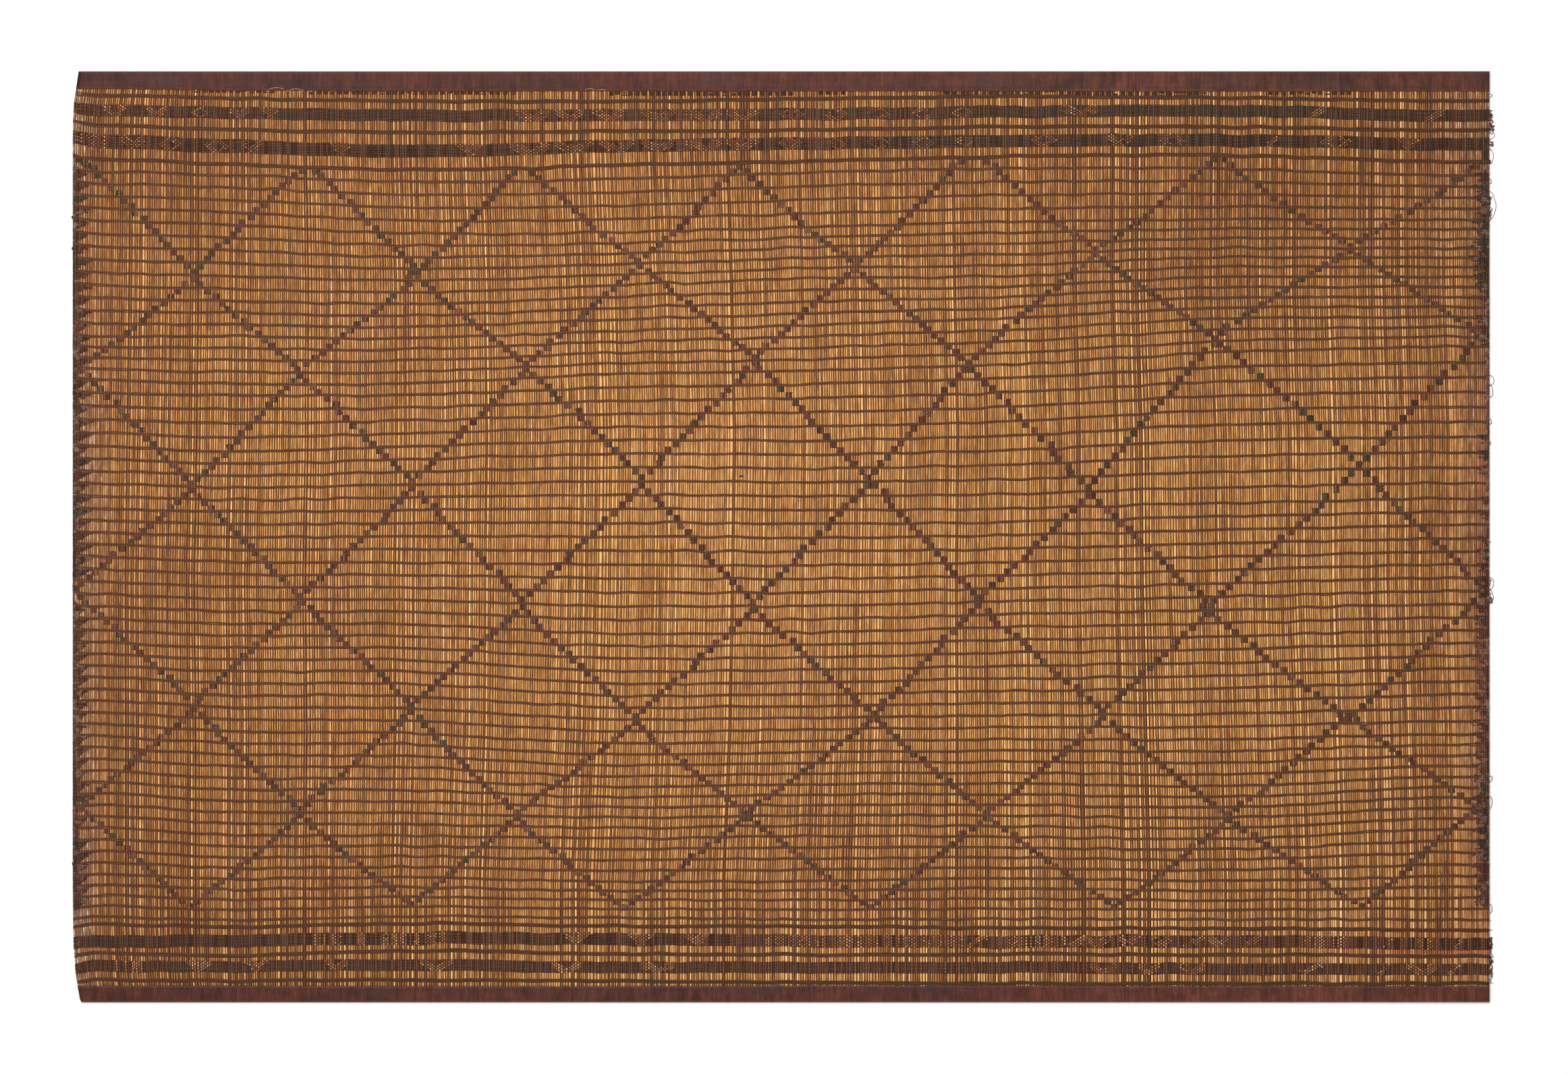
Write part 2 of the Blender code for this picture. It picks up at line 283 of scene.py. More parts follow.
# Patches of thong beside the lattice: place across and depth, length, thongs and colour
LOOSE_PATCHES = (
    (13.6, 166, 17, 4, 0.2), (29, 178, 14, 4, -0.05), (1288, 780, 9, 1, 0.2), (2716, 172, 30, 3, 0.1),
    (2700, 182, 22, 3, -0.08), (2660, 150, 12, 1, 0.15), (2662, 206, 16, 4, 0.05),
    (2723, 138, 11, 6, 0.08), (2721, 154, 14, 7, 0.1),
)
PATCH_PITCH = 2.6
PATCH_HALF = 1.5

# Stretches below the upper binding with tongues of thong: start, end, thongs in each tongue
TUFT_STRETCHES = (
    (237, 393, 2), (458, 855, 3), (1036, 1387, 4), (1439, 1485, 3), (1680, 2187, 4), (2304, 2460, 3),
)
TUFT_DEPTH = 40
TUFT_REEDS = 3.1
TUFT_SHARE = 0.9
TUFT_START = 0.8
TUFT_PITCH = 2.2
TUFT_HALF = 1.25

# Motifs of bare reeds in each band: start and end across, and the kind of figure
MOTIFS = {
    BANDS[0]: (
        (59, 103, "vee"), (146, 178, "vee"), (231, 260, "ring"), (307, 341, "vee"), (361, 397, "down"),
        (857, 915, "vee"), (932, 985, "vee"), (1002, 1063, "vee"), (1096, 1160, "vee"), (1183, 1251, "vee"),
        (1260, 1321, "vee"), (1361, 1407, "ring"), (1452, 1490, "ring"), (1531, 1574, "ring"),
        (1619, 1659, "ring"), (1695, 1733, "ring"), (1906, 1973, "vee"), (2384, 2414, "slant"),
        (2609, 2642, "slant"),
    ),
    BANDS[1]: (
        (17, 61, "field"), (96, 139, "vee"), (170, 208, "ring"), (256, 300, "ring"), (328, 359, "vee"),
        (499, 538, "down"), (737, 789, "down"), (845, 915, "vee"), (932, 1000, "vee"), (1014, 1079, "vee"),
        (1096, 1160, "vee"), (1183, 1253, "vee"), (1257, 1321, "vee"), (1361, 1405, "ring"),
        (1455, 1487, "ring"), (1531, 1574, "ring"), (1620, 1659, "ring"), (1698, 1732, "ring"),
        (1847, 1892, "ring"), (1993, 2041, "vee"), (2097, 2139, "ring"), (2302, 2323, "slant"),
        (2405, 2460, "ring"), (2548, 2597, "down"),
    ),
    BANDS[2]: (
        (467, 563, "field"), (601, 715, "field"), (944, 997, "down"), (1067, 1119, "down"),
        (1178, 1222, "down"), (1333, 1452, "field"), (1476, 1621, "field"), (1642, 1711, "field"),
        (1723, 1760, "slant"), (1802, 1892, "field"), (1906, 1945, "vee"), (1953, 1997, "vee"),
        (2014, 2055, "vee"), (2079, 2116, "vee"), (2142, 2180, "slant"), (2189, 2224, "vee"),
        (2259, 2288, "slant"), (2356, 2410, "field"), (2419, 2457, "field"), (2525, 2539, "slant"),
        (2579, 2618, "field"), (2661, 2675, "slant"),
    ),
    BANDS[3]: (
        (87, 134, "field"), (218, 269, "down"), (333, 373, "down"), (490, 528, "vee"), (671, 729, "vee"),
        (922, 979, "vee"), (1096, 1157, "vee"), (1962, 2011, "vee"), (2055, 2093, "vee"),
        (2133, 2178, "vee"), (2363, 2405, "slant"), (2516, 2536, "slant"), (2571, 2626, "vee"),
        (2649, 2670, "slant"),
    ),
}

# Bare reeds in each band: half width as a share of a reed's room, half length, and how much lighter
DOT_SHAPES = ((0.37, 1.45, -0.14), (0.37, 1.45, -0.14), (0.31, 1.8, 0.04), (0.31, 1.8, 0.04))
DOT_DEPTH = 100
DOT_MIDDLE = 4.6
DOT_RISE = 0.85

# Share of the reeds that stay hidden in a field, and of the bare places that do show in any motif
HIDDEN_COLUMNS = 0.3
DOT_SHARE = 0.96

# Folded bindings: share of the way to the inner edge, shift from there, height and painted highlight
FOLD_TOP = 5.6
BINDING_RINGS = 340
BINDING_INSET = 0.4
FOLD_SECTION = (
    (0.0, 0.0, 1.3, 0.5), (0.0, 0.35, 0.35, 0.0), (0.0, 1.2, 0.0, 0.0), (0.5, 0.0, 0.0, 0.0),
    (1.0, -0.5, 0.0, 0.0), (1.0, 0.0, 0.5, 0.0), (1.0, -0.3, 1.1, 0.0), (0.3, 0.0, 1.15, 0.0),
    (0.0, 1.2, 1.4, 0.0), (0.0, 1.2, 4.2, 0.0), (0.3, 0.0, 4.45, 0.0), (1.0, -0.3, 4.5, 0.0),
    (1.0, 0.0, 5.0, 0.5), (1.0, -0.6, 5.5, 0.4), (0.82, 0.0, 5.5, 0.0), (0.66, 0.0, 5.45, 0.0),
    (0.5, 0.0, 5.5, 0.0), (0.34, 0.0, 5.5, 0.0), (0.18, 0.0, 5.55, 0.0), (0.0, 1.7, 5.5, 0.3),
    (0.0, 0.6, 5.2, 1.0), (0.0, 0.05, 4.4, 1.0),
)

# Stitches, in pairs: height, half width, first place, gap after the last, and step within a pair
STITCH_MIDDLE = 5.1
STITCH_HALF = 0.75
STITCH_START = 16
STITCH_END_GAP = 6
STITCH_STEP_ACROSS = 2.2
STITCH_STEP_DOWN = 1.2

# Name, CAD node, outer edge, way inwards, inner edge, seed, and inset and pitch of the stitches
BINDINGS = (
    ("upper_binding", "binding_upper", 0.0, 1, UPPER_LIP, 81, 7.2, 8.6),
    ("lower_binding", "binding_lower", DEPTH, -1, LOWER_LIP, 83, 4.0, 9.8),
)

# Side wraps: first and last depth, and corners of the section as share of the width and height.
# Their colour changes from knot to knot, and one turn of thong follows another at the pitch.
WRAP_START = 184.0
WRAP_END = 1612.0
WRAP_RINGS = 560
WRAP_KNOTS = 260
WRAP_PITCH = 2.6
WRAP_SEEDS = {"left": 71, "right": 72}
WRAP_SECTION = (
    (0.02, 1.0), (0.1, 0.1), (1.0, 0.0), (1.02, 0.6), (1.0, 1.1), (0.12, 1.2), (0.12, 4.3),
    (1.0, 4.4), (1.04, 4.7), (0.98, 5.1), (0.65, 5.0), (0.35, 5.1), (0.1, 5.0), (0.01, 4.4),
)
WRAP_WIDTHS = {
    "left": (
        (184, 9), (560, 10), (972, 10), (978, 1.5), (1020, 1.5), (1026, 10.5), (1441, 11), (1446, 1.5),
        (1458, 1.5), (1463, 12), (1612, 11),
    ),
    "right": ((184, 11), (390, 11), (430, 6), (1010, 6), (1030, 9), (1612, 9)),
}
WRAP_INSET = 1.0

# Teeth of each side edge, by depth: reach of the longest thong and of the shortest, share of the
# rows that have teeth, and colour from red below 0 to olive above
TOOTH_STRANDS = 7
TOOTH_PITCH = 2.95
TOOTH_HALF = 1.4
TOOTH_INSET = 3.0
TOOTH_MIDDLE = 5.0
TOOTH_HEART = 20
TOOTH_LEAN_RUN = 36
TOOTH_START = {"left": 2.9, "right": -3.0}
TOOTH_SEEDS = {"left": 73, "right": 75}
TOOTH_UNEVEN = {"left": 1.6, "right": 3.6}
TOOTH_FIRST = WRAP_START - 4
TOOTH_LAST = WRAP_END - 16
TOOTH_LEAST = 5
TOOTH_TIPS = {
    "left": ((184, 33), (400, 35), (900, 36), (1030, 31), (1380, 31), (1470, 36), (1612, 36)),
    "right": ((184, 30), (285, 32), (402, 30), (420, 24), (1000, 22), (1030, 27), (1612, 28)),
}
TOOTH_ROOTS = {
    "left": ((184, 9), (1612, 11)),
    "right": ((184, 12), (270, 14), (290, 21), (395, 21), (410, 6), (1020, 6), (1030, 16), (1612, 16)),
}
TOOTH_SHARES = {"left": ((0, 1), (1793, 1)), "right": ((400, 1), (420, 0.65), (1010, 0.65), (1030, 1))}
TOOTH_KINDS = {
    "left": ((184, 0.04), (400, 0.0), (1612, 0.0)),
    "right": ((184, 0.06), (395, 0.1), (420, -0.06), (1010, -0.06), (1300, -0.02), (1612, 0.0)),
}

# Depths without teeth, how far each reaches, and share of the thongs with a stray bit beyond them
TOOTH_GAPS = {"left": (571, 980, 1002, 1420, 1450), "right": ()}
TOOTH_GAP_REACH = 14
TOOTH_STRAYS = {"left": 0, "right": 0.4}
STRAY_LENGTH = 4.2

# Loose thongs at the right edge: start, end and reach of bows, the same and a count for tangles,
# and depth, reach and lean of spikes. Then depth and reach of the knots at the left edge.
LOOP_RINGS = 26
LOOP_HEIGHT = 0.75
ROOT_HEIGHT = 2.6
ROOT_INSET = 2
RIGHT_BOWS = (
    (43, 51, 5.0), (148, 179, 9.0), (206, 216, 4.5), (229, 290, 13.0), (584, 606, 9.0), (602, 629, 7.0),
    (668, 680, 5.0), (712, 719, 3.0), (974, 1000, 9.0), (996, 1026, 7.5), (1357, 1371, 6.0),
    (1396, 1422, 6.0), (1602, 1622, 6.0), (1698, 1706, 8.0), (1706, 1718, 7.5),
)
RIGHT_TANGLES = (
    (75, 105, 8.0, 8), (105, 144, 11.0, 10), (240, 285, 5.0, 5), (980, 1024, 7.0, 4),
    (1669, 1702, 7.0, 8), (1706, 1756, 7.0, 11),
)
RIGHT_SPIKES = (
    (246, 6.5, -5), (262, 6.0, 2), (276, 6.5, -12), (906, 4.0, 1), (1637, 3.5, -1), (1654, 6.0, 1),
)
LEFT_KNOTS = ((281, 2.4), (341, 2.2), (1526, 1.2))
KNOT_HALF = 3.0
THONG_RADIUS = 0.5

# Pale fibres that arch over the upper binding's inner edge: start and end across, and top
FIBRES = ((372, 414, 31.5), (414, 446, 34.0), (983, 1010, 33.5), (1008, 1030, 35.0), (372, 380, 40.0))
FIBRE_ROOT = 38.5
FIBRE_HEIGHT = 5.3
FIBRE_SINK = 0.6
FIBRE_RADIUS = 0.45

# Broad patches of tone: place across and depth, half sizes, and how much lighter
PATCHES = (
    (1290, 840, 800, 560, 0.12), (1040, 1200, 420, 300, 0.03), (2226, 310, 140, 120, -0.12),
    (1000, 100, 1400, 320, -0.05), (100, 1000, 300, 1200, -0.03),
    (2000, 330, 90, 90, -0.06), (2473, 200, 70, 50, 0.06), (2473, 570, 80, 130, 0.07),
    (60, 900, 130, 900, -0.05), (2710, 900, 100, 900, -0.04), (1400, 60, 1400, 110, -0.05),
    (1400, 1740, 1400, 130, -0.06), (2400, 1010, 110, 120, 0.05), (330, 1300, 160, 160, 0.03),
    (2350, 1330, 420, 330, 0.11), (2350, 780, 300, 250, 0.09), (1820, 1330, 260, 300, 0.05),
    (300, 700, 330, 250, 0.05), (2350, 320, 350, 90, -0.04), (1400, 1742, 480, 15, 0.12),
    (250, 100, 350, 120, -0.06), (280, 1710, 380, 90, -0.16), (2716, 1110, 18, 170, -0.35),
    (2718, 340, 18, 90, -0.35), (2718, 1420, 18, 200, -0.3), (2645, 1600, 9, 70, -0.2),
    (237, 320, 7, 130, -0.13), (376, 330, 7, 150, -0.12), (2486, 1030, 12, 150, -0.08),
)

# Patches where the reeds have taken up red dye: the same measures, and how far
RED_PATCHES = (
    (2300, 1690, 500, 40, 0.04), (2714, 1100, 16, 120, 0.5), (2716, 700, 14, 300, 0.2),
    (2716, 1420, 16, 180, 0.3),
)

# Narrow strips of red dye above and below the third band: depth and strength, and where they show
RED_STRIPS = ((1696, 1.0), (1664, 0.2))
RED_STRIP_HALF = 6.0
RED_STRETCHES = ((2640, 1696, 120, 400, 0.85), (2434, 1696, 34, 400, 0.7))

# Weathered patches, where the reeds turn dull and grey: the same measures, and how far
GREY_PATCHES = (
    (32, 800, 36, 260, 0.45), (25, 1180, 30, 90, 0.45), (14, 70, 24, 90, 0.5), (14, 1650, 26, 110, 1.0),
    (2680, 88, 50, 60, 0.6), (2650, 230, 45, 60, 0.45), (2700, 640, 25, 70, 0.5), (2690, 1200, 30, 90, 0.3),
)

# Dark stains on the bindings: the same measures, and how far
STAINS = (
    (109, 10, 7, 7, 0.5), (182, 15, 26, 12, 0.45), (1234, 14, 36, 10, 0.6), (1765, 20, 34, 12, 0.55),
    (1823, 8, 22, 8, 0.5), (2226, 14, 24, 14, 0.45), (2387, 22, 36, 10, 0.55), (2706, 14, 26, 16, 0.4),
    (194, 1776, 10, 12, 0.35), (583, 1774, 34, 9, 0.5), (725, 1773, 20, 7, 0.5), (1313, 1772, 70, 7, 0.65),
    (1536, 1776, 30, 10, 0.45), (1661, 1772, 28, 8, 0.5), (1789, 1773, 22, 8, 0.4),
)

# How grey the reeds are at the side edges, and how far in from there
LEFT_GREY = 0.9
LEFT_GREY_REACH = 14
RIGHT_GREY = 0.3
RIGHT_GREY_REACH = 30

# Bright straws low down at the left: places across, depth where they start, and how much lighter
BRIGHT_STRAWS = (40, 79, 105, 127, 178, 266, 398, 476, 523, 653, 673, 731, 899, 905)
STRAW_START = 1617
STRAW_LIFT = 0.3

# Colours of the reeds, from dark to bright, and of weathered and dyed ones
STRAW_COLOURS = (
    (0.0, (0.12, 0.048, 0.018)),
    (0.3, (0.21, 0.088, 0.027)),
    (0.5, (0.345, 0.158, 0.045)),
    (0.7, (0.51, 0.262, 0.08)),
    (1.0, (0.74, 0.45, 0.165)),
)
WEATHERED_COLOURS = ((0.42, (0.2, 0.1, 0.055)), (0.56, (0.3, 0.18, 0.11)), (0.68, (0.55, 0.45, 0.38)))
RED_DYE = (0.36, 0.085, 0.045)

# Brown, olive and red of each kind of thong, then what shows on close weaves
THONG_COLOURS = {
    "thong_leather": ((0.122, 0.05, 0.025), (0.088, 0.049, 0.026), (0.127, 0.042, 0.024)),
    "band_leather": ((0.08, 0.033, 0.0175), (0.058, 0.037, 0.021), (0.092, 0.03, 0.0165)),
    "thick_leather": ((0.098, 0.04, 0.02), (0.07, 0.039, 0.0205), (0.102, 0.034, 0.019)),
    "block_leather": ((0.108, 0.045, 0.024), (0.076, 0.05, 0.028), (0.128, 0.041, 0.023)),
    "edge_leather": ((0.084, 0.033, 0.02), (0.05, 0.038, 0.025), (0.106, 0.032, 0.02)),
    "stitch_thread": ((0.02, 0.012, 0.01), (0.02, 0.014, 0.01), (0.03, 0.014, 0.01)),
}
BARE_REED = (0.36, 0.145, 0.072)
PALE_DUST = (0.25, 0.155, 0.11)

# Leather of the bindings, its stains and the painted highlight along its fold, and how the upper
# and the lower one change from left to right
BINDING_COLOURS = (
    (0.3, (0.034, 0.0108, 0.0072)),
    (0.45, (0.046, 0.013, 0.008)),
    (0.6, (0.058, 0.0148, 0.0086)),
    (0.75, (0.064, 0.0155, 0.009)),
)
STAIN_COLOUR = (0.045, 0.024, 0.022)
FOLD_HIGHLIGHT_COLOUR = (0.12, 0.058, 0.042)
SHARE_PER_METRE = 0.364
BINDING_TINTS = (
    ((0.1, (0.95, 0.87, 0.79)), (0.4, (1.15, 1.04, 0.96)), (0.78, (1.4, 1.65, 1.6))),
    ((0.1, (1.27, 1.23, 1.16)), (0.4, (1.14, 1.28, 1.27)), (0.78, (1.7, 1.75, 1.7))),
)

# Studio, in metres: floor, sky and the soft light
FLOOR_SIZE = 12
FLOOR_DROP = 0.0001
SKY_STRENGTH = 0.75
LIGHT_SIZE = (3.5, 3.0)
LIGHT_POWER = 180
LIGHT_PLACE = (-1.2, 1.6, 4.0)


def read_table(table, places, line, across):
    """Read a table: a smooth curve along each line, and straight between two lines."""
    table = np.asarray(table, float)
    places = np.asarray(places, float)
    slopes = np.gradient(table, places, axis=1)
    line, across = np.broadcast_arrays(np.asarray(line, float), np.asarray(across, float))
    first = np.clip(np.floor(line).astype(int), 0, len(table) - 2)
    share = line - first
    place = np.clip(across, places[0], places[-1])
    step = np.clip(np.searchsorted(places, place, side="right") - 1, 0, len(places) - 2)
    width = places[step + 1] - places[step]
    t = (place - places[step]) / width

    def along(row):
        start = (1 + 2 * t) * (1 - t) ** 2 * table[row, step]
        leave = t * (1 - t) ** 2 * width * slopes[row, step]
        end = t * t * (3 - 2 * t) * table[row, step + 1]
        arrive = t * t * (t - 1) * width * slopes[row, step + 1]
        return start + leave + end + arrive

    return along(first) * (1 - share) + along(first + 1) * share


def read_line(values, places, across):
    """Read one smooth curve through the values at the places."""
    return read_table([values] * 2, places, 0, across)


def by_pairs(value, pairs):
    """Read an amount from (place, amount) pairs, straight between them and level outside them."""
    places, amounts = zip(*pairs)
    return np.interp(value, places, amounts)


def columns_of(rows):
    """One array for each column of a list of rows."""
    return [np.array(column) for column in zip(*rows)]


def weave_table():
    """Depth of every line of the weave, by station."""
    keys = sorted(KEY_ROWS)
    known = np.array([KEY_ROWS[key] for key in keys])
    rows = np.stack([np.interp(range(ROW_COUNT), keys, column) for column in known.T], axis=1)
    return np.vstack([UPPER_LINES, rows, LOWER_LINES])


def wander_table(draw, lines, knots, size, keep):
    """Random offsets along each line, which follow those of the line above in part."""
    table = draw.normal(0, size, (lines, knots))
    for line in range(1, lines):
        table[line] = keep * table[line - 1] + math.sqrt(1 - keep * keep) * table[line]
    return table


WEAVE = weave_table()
WANDER_KNOTS = np.linspace(0, LENGTH, WANDER_PLACES)
WANDER = wander_table(np.random.default_rng(11), len(WEAVE), WANDER_PLACES, WANDER_SIZE, WANDER_KEPT)


def line_depth(line, across):
    """Depth of a line of the weave, with its small wander and its bend at the left edge."""
    depth = read_table(WEAVE, STATIONS, line, across) + read_table(WANDER, WANDER_KNOTS, line, across)
    near = np.clip(1 - across / LEFT_BEND_REACH, 0, 1) ** 1.5
    return depth + near * by_pairs(depth, LEFT_BEND)


def left_edge(depth):
    return by_pairs(depth, LEFT_OUTLINE)


def right_edge(depth):
    """The right edge is straight, so it is the same at every depth."""
    return LENGTH


# Each side's name, its edge line and which way is inwards
SIDES = (("left", left_edge, 1), ("right", right_edge, -1))


def reed_shift(base, depth):
    """How far a reed stands to the right of its even place, at a depth."""
    level = np.interp(depth, BOW_DEPTHS, range(len(BOW_DEPTHS)))
    fade = np.clip(base / BOW_FADE, 0, 1) * np.clip((LENGTH - base) / BOW_FADE, 0, 1)
    inset = left_edge(depth) * np.clip(1 - base / INSET_FADE, 0, 1)
    return read_table(BOW, STATIONS, level, base) * fade + inset


def reed_lines():
    """Where one reed ends and the next starts: uneven widths, a little closer at the left."""
    widths = np.exp(np.random.default_rng(2).normal(0, REED_UNEVEN, REED_COUNT))
    widths *= 1 + REED_CROWDING * np.linspace(-1, 1, REED_COUNT)
    lines = np.concatenate([[0], np.cumsum(widths)])
    return lines * LENGTH / lines[-1]


REED_LINES = reed_lines()


def reed_across(reed, depth):
    """Place across of the middle of a reed, counted from 0 at the left, at a depth."""
    base = np.interp(np.asarray(reed, float) + 0.5, np.arange(REED_COUNT + 1), REED_LINES)
    return base + reed_shift(base, depth)


def reed_at(across, depth):
    """Count of reeds to the left of a place: a half more than a whole number over a reed's crown."""
    base = across - reed_shift(across, depth)
    base = across - reed_shift(base, depth)
    return np.interp(base, REED_LINES, np.arange(REED_COUNT + 1))


def reed_width(reed):
    return np.diff(REED_LINES)[reed]


def place(across, depth, height):
    """Turn the mat's own measures into points in metres."""
    across, depth, height = np.broadcast_arrays(across, depth, height)
    return np.stack([LEFT + across * MM, UPPER - depth * MM, height * MM], axis=-1)


def new_object(name, data):
    thing = bpy.data.objects.new(name, data)
    bpy.context.scene.collection.objects.link(thing)
    return thing


def tube(sides, rings):
    """A closed straight tube from 0 to 1 along X, with its sides 1 from that line."""
    shell = bmesh.new()
    bmesh.ops.create_cone(shell, cap_ends=True, segments=sides, radius1=1, radius2=1, depth=1)
    long_edges = [edge for edge in shell.edges if abs(edge.verts[0].co.z - edge.verts[1].co.z) > 0.5]
    bmesh.ops.subdivide_edges(shell, edges=long_edges, cuts=rings - 2, use_grid_fill=True)
    bmesh.ops.translate(shell, verts=shell.verts, vec=(0, 0, 0.5))
    bmesh.ops.rotate(shell, verts=shell.verts, cent=(0, 0, 0), matrix=Matrix.Rotation(math.pi / 2, 3, "Y"))
    return shell


def ring_of(share, rings):
    """Number of the ring that a point of a tube lies on, from its share of the way along."""
    return np.rint(share * (rings - 1)).astype(int)


def repeated(name, shell, count):
    """Repeat a shape with an Array and join the copies; also return the points of one copy."""
    for face in shell.faces:
        face.smooth = True
    unit = np.array([vert.co[:] for vert in shell.verts])
    mesh = bpy.data.meshes.new(name)
    shell.to_mesh(mesh)
    shell.free()
    piece = new_object(name, mesh)
    array = piece.modifiers.new("copies", "ARRAY")
    array.count = count
    array.use_relative_offset = False
    array.use_constant_offset = True
    array.constant_offset_displace = (0, 1, 0)
    seen = piece.evaluated_get(bpy.context.evaluated_depsgraph_get())
    joined = bpy.data.meshes.new_from_object(seen)
    piece.modifiers.clear()
    piece.data = joined
    joined.name = name
    bpy.data.meshes.remove(mesh)
    return piece, unit


def set_points(piece, points):
    piece.data.vertices.foreach_set("co", np.ascontiguousarray(points, dtype=np.float32).reshape(-1))
    piece.data.update()


def set_values(piece, shape, **values):
    """Give every point the values that the material reads by name."""
    for name, value in values.items():
        attribute = piece.data.attributes.new(name, "FLOAT", "POINT")
        spread = np.ascontiguousarray(np.broadcast_to(value, shape), dtype=np.float32)
        attribute.data.foreach_set("value", spread.reshape(-1))


def dress(piece, slot, material, *nodes):
    """Ride on the mat's body, take a finish, and stand for CAD nodes where some are named."""
    piece.data.materials.append(material)
    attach(piece, BODY)
    if nodes:
        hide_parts(*nodes)
    return piece


# Material helpers


def put(tree, socket, value):
    if isinstance(value, bpy.types.NodeSocket):
        tree.links.new(value, socket)
    else:
        socket.default_value = value


def start_material(name, roughness):
    material = bpy.data.materials.new(name)
    material.use_nodes = True
    shader = material.node_tree.nodes["Principled BSDF"]
    shader.inputs["Roughness"].default_value = roughness
    shader.inputs["Specular IOR Level"].default_value = 0.15
    return material, material.node_tree, shader


def value_of(tree, name):
    node = tree.nodes.new("ShaderNodeAttribute")
    node.attribute_name = name
    return node.outputs["Fac"]


def where(tree):
    return tree.nodes.new("ShaderNodeTexCoord").outputs["Object"]


def along_axis(tree, number):
    """Place along X for 0, or along Y for 1."""
    parts = tree.nodes.new("ShaderNodeSeparateXYZ")
    put(tree, parts.inputs[0], where(tree))
    return parts.outputs[number]


def sums(tree, operation, first, second=0.0, third=0.0):
    node = tree.nodes.new("ShaderNodeMath")
    node.operation = operation
    for socket, value in zip(node.inputs, (first, second, third)):
        put(tree, socket, value)
    return node.outputs[0]


def vector(tree, x, y):
    node = tree.nodes.new("ShaderNodeCombineXYZ")
    for socket, value in zip(node.inputs, (x, y)):
        put(tree, socket, value)
    return node.outputs[0]


def scaled(tree, coordinates, scale):
    node = tree.nodes.new("ShaderNodeMapping")
    put(tree, node.inputs["Vector"], coordinates)
    node.inputs["Scale"].default_value = scale
    return node.outputs[0]


def noise(tree, coordinates, scale, detail=2.0, roughness=0.5):
    node = tree.nodes.new("ShaderNodeTexNoise")
    put(tree, node.inputs["Vector"], coordinates)
    for name, value in (("Scale", scale), ("Detail", detail), ("Roughness", roughness)):
        node.inputs[name].default_value = value
    return node.outputs["Fac"]


def ramp(tree, value, stops):
    node = tree.nodes.new("ShaderNodeValToRGB")
    put(tree, node.inputs[0], value)
    elements = node.color_ramp.elements
    while len(elements) < len(stops):
        elements.new(0.5)
    for element, (at, colour) in zip(elements, stops):
        element.position = at
        element.color = (*colour, 1) if hasattr(colour, "__len__") else (colour, colour, colour, 1)
    return node.outputs[0]


def blend(tree, share, first, second, how="MIX"):
    node = tree.nodes.new("ShaderNodeMix")
    node.data_type = "RGBA"
    node.blend_type = how
    put(tree, node.inputs[0], share)
    for socket, value in ((node.inputs[6], first), (node.inputs[7], second)):
        put(tree, socket, value if isinstance(value, bpy.types.NodeSocket) else (*value, 1))
    return node.outputs[2]


def tint(tree, colour, value, stops):
    """Make a colour darker or lighter by a ramp of a value."""
    return blend(tree, 1.0, colour, ramp(tree, value, stops), "MULTIPLY")


def colour_and_bump(tree, shader, colour, height, distance, strength):
    put(tree, shader.inputs["Base Color"], colour)
    node = tree.nodes.new("ShaderNodeBump")
    node.inputs["Strength"].default_value = strength
    node.inputs["Distance"].default_value = distance
    put(tree, node.inputs["Height"], height)
    put(tree, shader.inputs["Normal"], node.outputs["Normal"])


# Finishes


def reed_finish():
    """Split and dried reed: straw to brown, changing along each reed, with a painted highlight along its
    top and painted shade down its sides between two reeds.
    """
    material, tree, shader = start_material("dried_reed", 0.55)
    seed = sums(tree, "MULTIPLY", value_of(tree, "seed"), 400.0)
    along = value_of(tree, "along")
    crown = value_of(tree, "crown")

    slow = noise(tree, vector(tree, seed, sums(tree, "MULTIPLY", along, 9.0)), 1.0)
    quick = noise(tree, vector(tree, seed, sums(tree, "MULTIPLY", along, 36.0)), 1.0)
    beside = sums(tree, "MULTIPLY_ADD", crown, 9.0, seed)
    fibre = noise(tree, vector(tree, beside, sums(tree, "MULTIPLY", along, 90.0)), 1.0, 3.0, 0.6)
    patch = noise(tree, where(tree), 5.0, 3.0)
    tone = value_of(tree, "tone")
    for part, weight in ((slow, 0.75), (quick, 0.6), (fibre, 0.4), (patch, 0.2)):
        tone = sums(tree, "MULTIPLY_ADD", sums(tree, "SUBTRACT", part, 0.5), weight, tone)
    colour = ramp(tree, tone, STRAW_COLOURS)
    colour = blend(tree, value_of(tree, "pink"), colour, (0.97, 0.92, 1.3), "MULTIPLY")
    colour = blend(tree, value_of(tree, "grey"), colour, ramp(tree, quick, WEATHERED_COLOURS))

    dyed = value_of(tree, "dyed")
    for depth, strength in RED_STRIPS:
        far = sums(tree, "ABSOLUTE", sums(tree, "SUBTRACT", along_axis(tree, 1), UPPER - depth * MM))
        near = ramp(tree, sums(tree, "DIVIDE", far, RED_STRIP_HALF * MM), ((0.6, strength), (1.0, 0.0)))
        dyed = sums(tree, "MULTIPLY_ADD", near, value_of(tree, "dyed_strip"), dyed)
    colour = blend(tree, dyed, colour, RED_DYE)
    # Painted highlight along each reed's top and painted shade down its sides, where it meets the next reed
    colour = tint(tree, colour, crown, (
        (0.05, (0.26, 0.17, 0.11)),
        (0.55, (0.33, 0.23, 0.16)),
        (0.8, (0.76, 0.68, 0.6)),
        (0.96, (1.25, 1.23, 1.17)),
    ))
    colour_and_bump(tree, shader, colour, fibre, 0.0003, 0.5)
    return material


